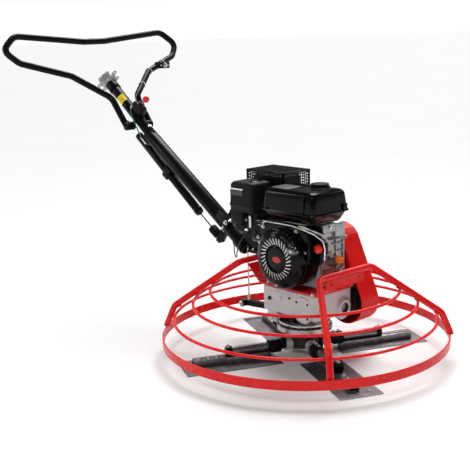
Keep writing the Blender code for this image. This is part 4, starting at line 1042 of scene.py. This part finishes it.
def make_main_tube():
    s, w = FOLD_PIVOT
    along = (UPPER_END - UPPER_START).normalized()
    builder = bmesh.new()
    add_rod(builder, *mm("1.2 0 0, 545 0 0"), 0.027, 64, bevel=0.001)
    for side in (-1, 1):
        near, far = sorted((side * 0.0275, side * 0.0325))
        add_box(builder, (s - 0.012, near, 0.004), (0.042, far, w + 0.012), 0.002)
    add_box(builder, *mm("8 -32.5 -8, 42 32.5 12"), 0.002)
    add_box(builder, (0.0012, -0.016, LATCH_W - 0.014), (0.0092, 0.016, -0.01), 0.002)
    put("main_tube", builder, HANDLE, "handle_black", "handle", ("handle_tube",))
    rods("pitch_tube", [(UPPER_START, UPPER_END, 0.021)], HANDLE, "handle_black", "handle", 56, 0.0008)
    rods("pitch_tube_collar", [(UPPER_END - along * 0.032, UPPER_END + along * 0.004, 0.0245)], HANDLE,
        "handle_black", "handle", 56, 0.0015)
    rods("tube_end_weld", [(*mm("544.5 0 1, 553 0 2"), 0.0268, 0.0225)], HANDLE, "handle_black", "handle", 56)
    barrel = [((0.008, 0, LATCH_W), (0.02, 0, LATCH_W), 0.009), ((0.019, 0, LATCH_W), (0.06, 0, LATCH_W), 0.0168)]
    rods("latch_barrel", barrel, HANDLE, "handle_black", "handle", 48, 0.0012)
    knurl = HANDLE @ Matrix.Translation((0.024, 0, LATCH_W)) @ END_ON
    slab("latch_knurl", [lobed(0.017, 0.0005, 28, 168)], 0, 0.03, knurl, "handle_black", "handle", 0.0008)
    lean = atan2(along.z, along.x)
    axis = HANDLE @ Matrix.Translation(UPPER_START) @ Matrix.Rotation(-lean, 4, "Y") @ END_ON
    wrap("pitch_label", axis, 0.021, 0.0005, (radians(-30), radians(75)), (0.211, 0.249), "yellow_label", "handle")
    for i in range(3):
        start = 0.219 + 0.009 * i
        wrap(f"pitch_label_rule_{i + 1}", axis, 0.0214, 0.0003, (radians(-12), radians(56 - 14 * i)),
            (start, start + 0.003), "label_ink", "handle")
    bolts("tube_top_bolt", [(0.56, 0, 0.029)], (0, 0, 1), 0.009, HANDLE, body="handle")


def make_control_tube():
    builder = bmesh.new()
    add_rod(builder, *mm("144 0 -66.5, 600 0 -46.5"), 0.016, 48, bevel=0.0015)
    add_box(builder, *mm("352 -18 -75.5, 388 18 -27"), 0.003)
    add_rod(builder, *mm("150 0 -66.2, 166 0 -65.5"), 0.0172, 48, bevel=0.001)
    add_box(builder, *mm("520 -10 -42, 546 10 -27.5"), 0.002)
    put("control_sleeve", builder, HANDLE, "handle_black", "handle", ("control_tube",))
    bolts("tube_strap_bolt", [(0.37, -0.0182, -0.04)], (0, -1, 0), 0.009, HANDLE, body="handle")


def make_handlebar():
    tube("loop_handlebar", rounded(mirrored(BAR_HALF), 0.055, 14), 0.0127, ROTOR, "handle_black", "handle",
        fineness=8, replaced=("handlebar",))
    rods("handlebar_bracket", [((-0.909, side * 0.022, 0.737), (-0.909, side * 0.063, 0.737), 0.0165) for side in
        (-1, 1)], ROTOR, "handle_black", "handle", 48, 0.002)
    bolts("handlebar_bracket_bolts", [(-0.909, side * 0.05, 0.7535) for side in (-1, 1)], (0, 0, 1), 0.008, ROTOR,
        "handle_black", "handle")
    rest = [Vector(p) for p in ((-1.15, 0.376, 0.995), (-1.08, 0.19, 0.938), (-0.995, 0.062, 0.846))]
    spots = [rest[1].lerp(rest[0], 0.55), rest[1].lerp(rest[0], 0.02), rest[2].lerp(rest[1], 0.45)]
    headings = [(rest[0] - rest[1]), (rest[0] - rest[2]), (rest[1] - rest[2])]
    for i, (spot, heading) in enumerate(zip(spots, headings)):
        where = ROTOR @ Matrix.Translation(spot) @ heading.to_track_quat("Z", "Y").to_matrix().to_4x4()
        turned(f"cable_tie_{i + 1}", mm("15 -2.2, 15 2.2, 13.8 2.2, 13.8 -2.2"), where, "white_tie", "handle", 40)


def make_hand_wheel():
    lean = atan2(UPPER_END.z - UPPER_START.z, UPPER_END.x - UPPER_START.x)
    where = HANDLE @ Matrix.Translation(UPPER_END) @ Matrix.Rotation(pi / 2 - lean, 4, "Y")
    hub = mm("0 40, 10 40, 12 38.5, 27.5 38.5, 29.5 45.5, 34 45.8, 35.2 44, 35 34, 32.2 16, 29 9, 25.5 6.2, 15 5.5, "
        "14 4.5, 0 4.5")
    turned("hand_wheel_hub", hub, where, "wheel_alloy", "handwheel", replaced=("pitch_handwheel",))
    for i in range(7):
        turn = where @ Matrix.Rotation(2 * pi * i / 7, 4, "Z")
        loop = rounded(mm("33 -6.5 33, 37 -4.8 33, 42 -7.6 33, 48 -5.6 33, 48 5.6 33, 42 7.6 33, 37 4.8 33, "
            "33 6.5 33"), 0.0045, 5)
        tube(f"hand_wheel_loop_{i + 1}", loop, 0.0025, turn, "wheel_alloy", "handwheel", fineness=3)
    bolts("hand_wheel_nut", [(0, 0, 0.04)], (0, 0, 1), 0.0095, where, body="handwheel")


def make_throttle():
    layers = mm("35.2 625 680 -15 15 6, 37.2 621.5 683 -18 18 9, 40 620.5 684 -18.8 18.8 10, 60 621.5 683 -18 18 10, "
        "66 624 680 -15.8 15.8 9, 69 628.5 675 -11.5 11.5 6")
    shell = stack("throttle_box", layers, HANDLE, "black_plastic", "handle", replaced=("throttle_housing",), angle=26)

    def slot(builder):
        add_box(builder, *mm("624.5 -4.5 52, 679.5 4.5 90"), 0, 1)

    cut(shell, cutter_from("throttle_slot", slot, HANDLE))
    bolts("throttle_box_screws", mm("632 -18.6 50, 674 -18.6 50"), (0, -1, 0), 0.007, HANDLE, body="handle")
    rods("throttle_stem", [(*mm("655 0 58, 634 0 100"), 0.0035)], HANDLE, body="throttle", sides=20)
    knob = HANDLE @ Matrix.Translation((0.632, 0, 0.107)) @ Matrix.Rotation(atan2(-0.021, 0.042), 4, "Y")
    turned("throttle_box_gaiter", mm("6 0, 9.8 0, 8.8 3, 9.6 5.5, 7.2 8.5, 5.2 10.5, 4 10.5, 4 0"), HANDLE @
        Matrix.Translation((0.65, 0, 0.0672)) @ Matrix.Rotation(atan2(-0.021, 0.042), 4, "Y"), "black_plastic",
        "throttle", 32)
    profile = [(0, 0.013)] + [(0.0132 * cos(a), 0.0132 * sin(a)) for a in (radians(80 - 10 * i) for i in range(15))]
    profile += mm("7 -12.8, 6.2 -14.5, 0 -14.5")
    turned("throttle_knob", profile, knob, "red_plastic", "throttle", 48, ("throttle_lever",), 40)
    rods("cable_ferrules", [(*mm("672 25 50, 668 27 40"), 0.0036), (*mm("536 19 -29.8, 548 24 -24"), 0.0034)], HANDLE,
        "bright_steel", "handle", 20, 0.0005)


def make_switch_box():
    where = at(-1.0552, 0.26, 0.962) @ END_ON
    bolts("stop_switch_screws", mm("-1054.8 239.5 962, -1054.8 280.5 962"), (1, 0, 0), 0.005, body="handle")
    turned("stop_switch_bezel", mm("7.5 0, 11 0, 10.5 3, 7.8 3"), where, body="handle", steps=40)
    turned("stop_plunger", mm("0 12, 5 11.9, 6.6 10.8, 7 9, 7 -3.5, 0 -3.5"), where, "bright_steel", "stop", 32,
        ("stop_button",))


def make_cables():
    clipped = smooth(mm("672 25 50, 662 29 32, 630 31 14, 590 30.5 -4, 556 27 -20, 534 18 -30.5, 515 4 -31"), 10)
    tube("throttle_cable_run", clipped, 0.0022, HANDLE, "cable_green", "handle", fineness=4,
        replaced=("throttle_cable",))
    rods("cable_sleeve", [(*mm("560 26.2 -22.2, 526 20.5 -30"), 0.0034)], HANDLE, "white_tie", "handle", 24, 0.0006)
    stop_lead = smooth(mm("-927.5 10 831, -946 20 844, -966 40 855, -983 62 864, -1009.7 99.6 885, "
        "-1043.7 150.8 921.8, -1066.8 191.1 947.7, -1071 213 956, -1068.8 230.7 961.5"), 10)
    tube("stop_lead", stop_lead, 0.0022, ROTOR, "cable_black", "handle", fineness=4, replaced=("stop_cable",))
    rods("stop_lead_gland", [(*mm("-1070 226 960, -1068.6 232.2 961.6"), 0.0034, 0.0042)], ROTOR, "black_plastic",
        "handle", 24, 0.0004)


make_lower_handle()
make_main_tube()
make_control_tube()
make_handlebar()
make_hand_wheel()
make_throttle()
make_switch_box()
make_cables()

# ---------------------------------------------------------------- floor and light

FLOOR_REACH = 150
FLOOR_DROP = 0.0004
# The sky's strength at the horizon and above, and the heights between which it falls.
SKY_LOW, SKY_HIGH = 1.05, 0.13
SKY_START, SKY_END = 0.03, 0.12
# Each light's place, target, size and power.
LIGHTS = {"key_softbox": ((1.6, -2.6, 2.6), (0.2, 0, 0.4), (1.2, 0.9), 30),
    "left_softbox": ((-2.4, -2.2, 1.9), (0, 0, 0.5), (0.5, 1.8), 16),
    "rear_softbox": ((0.6, 2.8, 2.4), (0, 0, 0.5), (2.2, 0.7), 8)}
SUN_STRENGTH = 4
SUN_WIDTH = radians(40)
SUN_TURN = (radians(-26), radians(-20), 0)


def make_studio():
    builder = bmesh.new()
    bmesh.ops.create_grid(builder, x_segments=1, y_segments=1, size=FLOOR_REACH)
    mesh = bpy.data.meshes.new("floor")
    builder.to_mesh(mesh)
    builder.free()
    floor = bpy.data.objects.new("floor", mesh)
    floor.location = (0, 0, -FLOOR_DROP)
    bpy.context.scene.collection.objects.link(floor)
    material = look("pale_floor", (0.8, 0.8, 0.8), (0.78, 0.78, 0.78), 0.6, 1.5, 60, 0.01, specular=0.1)
    mesh.materials.append(material)
    world = bpy.data.worlds.new("studio")
    bpy.context.scene.world = world
    world.use_nodes = True
    tree = world.node_tree
    sky = tree.nodes["Background"]
    direction = node(tree, "ShaderNodeTexCoord").outputs["Generated"]
    height = node(tree, "ShaderNodeSeparateXYZ")
    link(tree, direction, height.inputs["Vector"])
    sky.inputs["Color"].default_value = (1, 1, 1, 1)
    link(tree, spread(tree, height.outputs["Z"], SKY_LOW, SKY_HIGH, SKY_START, SKY_END), sky.inputs["Strength"])
    for name, (spot, target, size, power) in LIGHTS.items():
        add_light(name, spot, target, size, power)
    sun = bpy.data.lights.new("overhead_sun", "SUN")
    sun.energy = SUN_STRENGTH
    sun.angle = SUN_WIDTH
    carrier = bpy.data.objects.new("overhead_sun", sun)
    carrier.rotation_euler = SUN_TURN
    bpy.context.scene.collection.objects.link(carrier)
    bpy.context.scene.view_settings.view_transform = "Standard"


def add_light(name, spot, target, size, power):
    data = bpy.data.lights.new(name, "AREA")
    data.shape = "RECTANGLE"
    data.size, data.size_y = size
    data.energy = power
    item = bpy.data.objects.new(name, data)
    item.location = spot
    item.rotation_euler = (Vector(target) - Vector(spot)).to_track_quat("-Z", "Y").to_euler()
    bpy.context.scene.collection.objects.link(item)


make_studio()
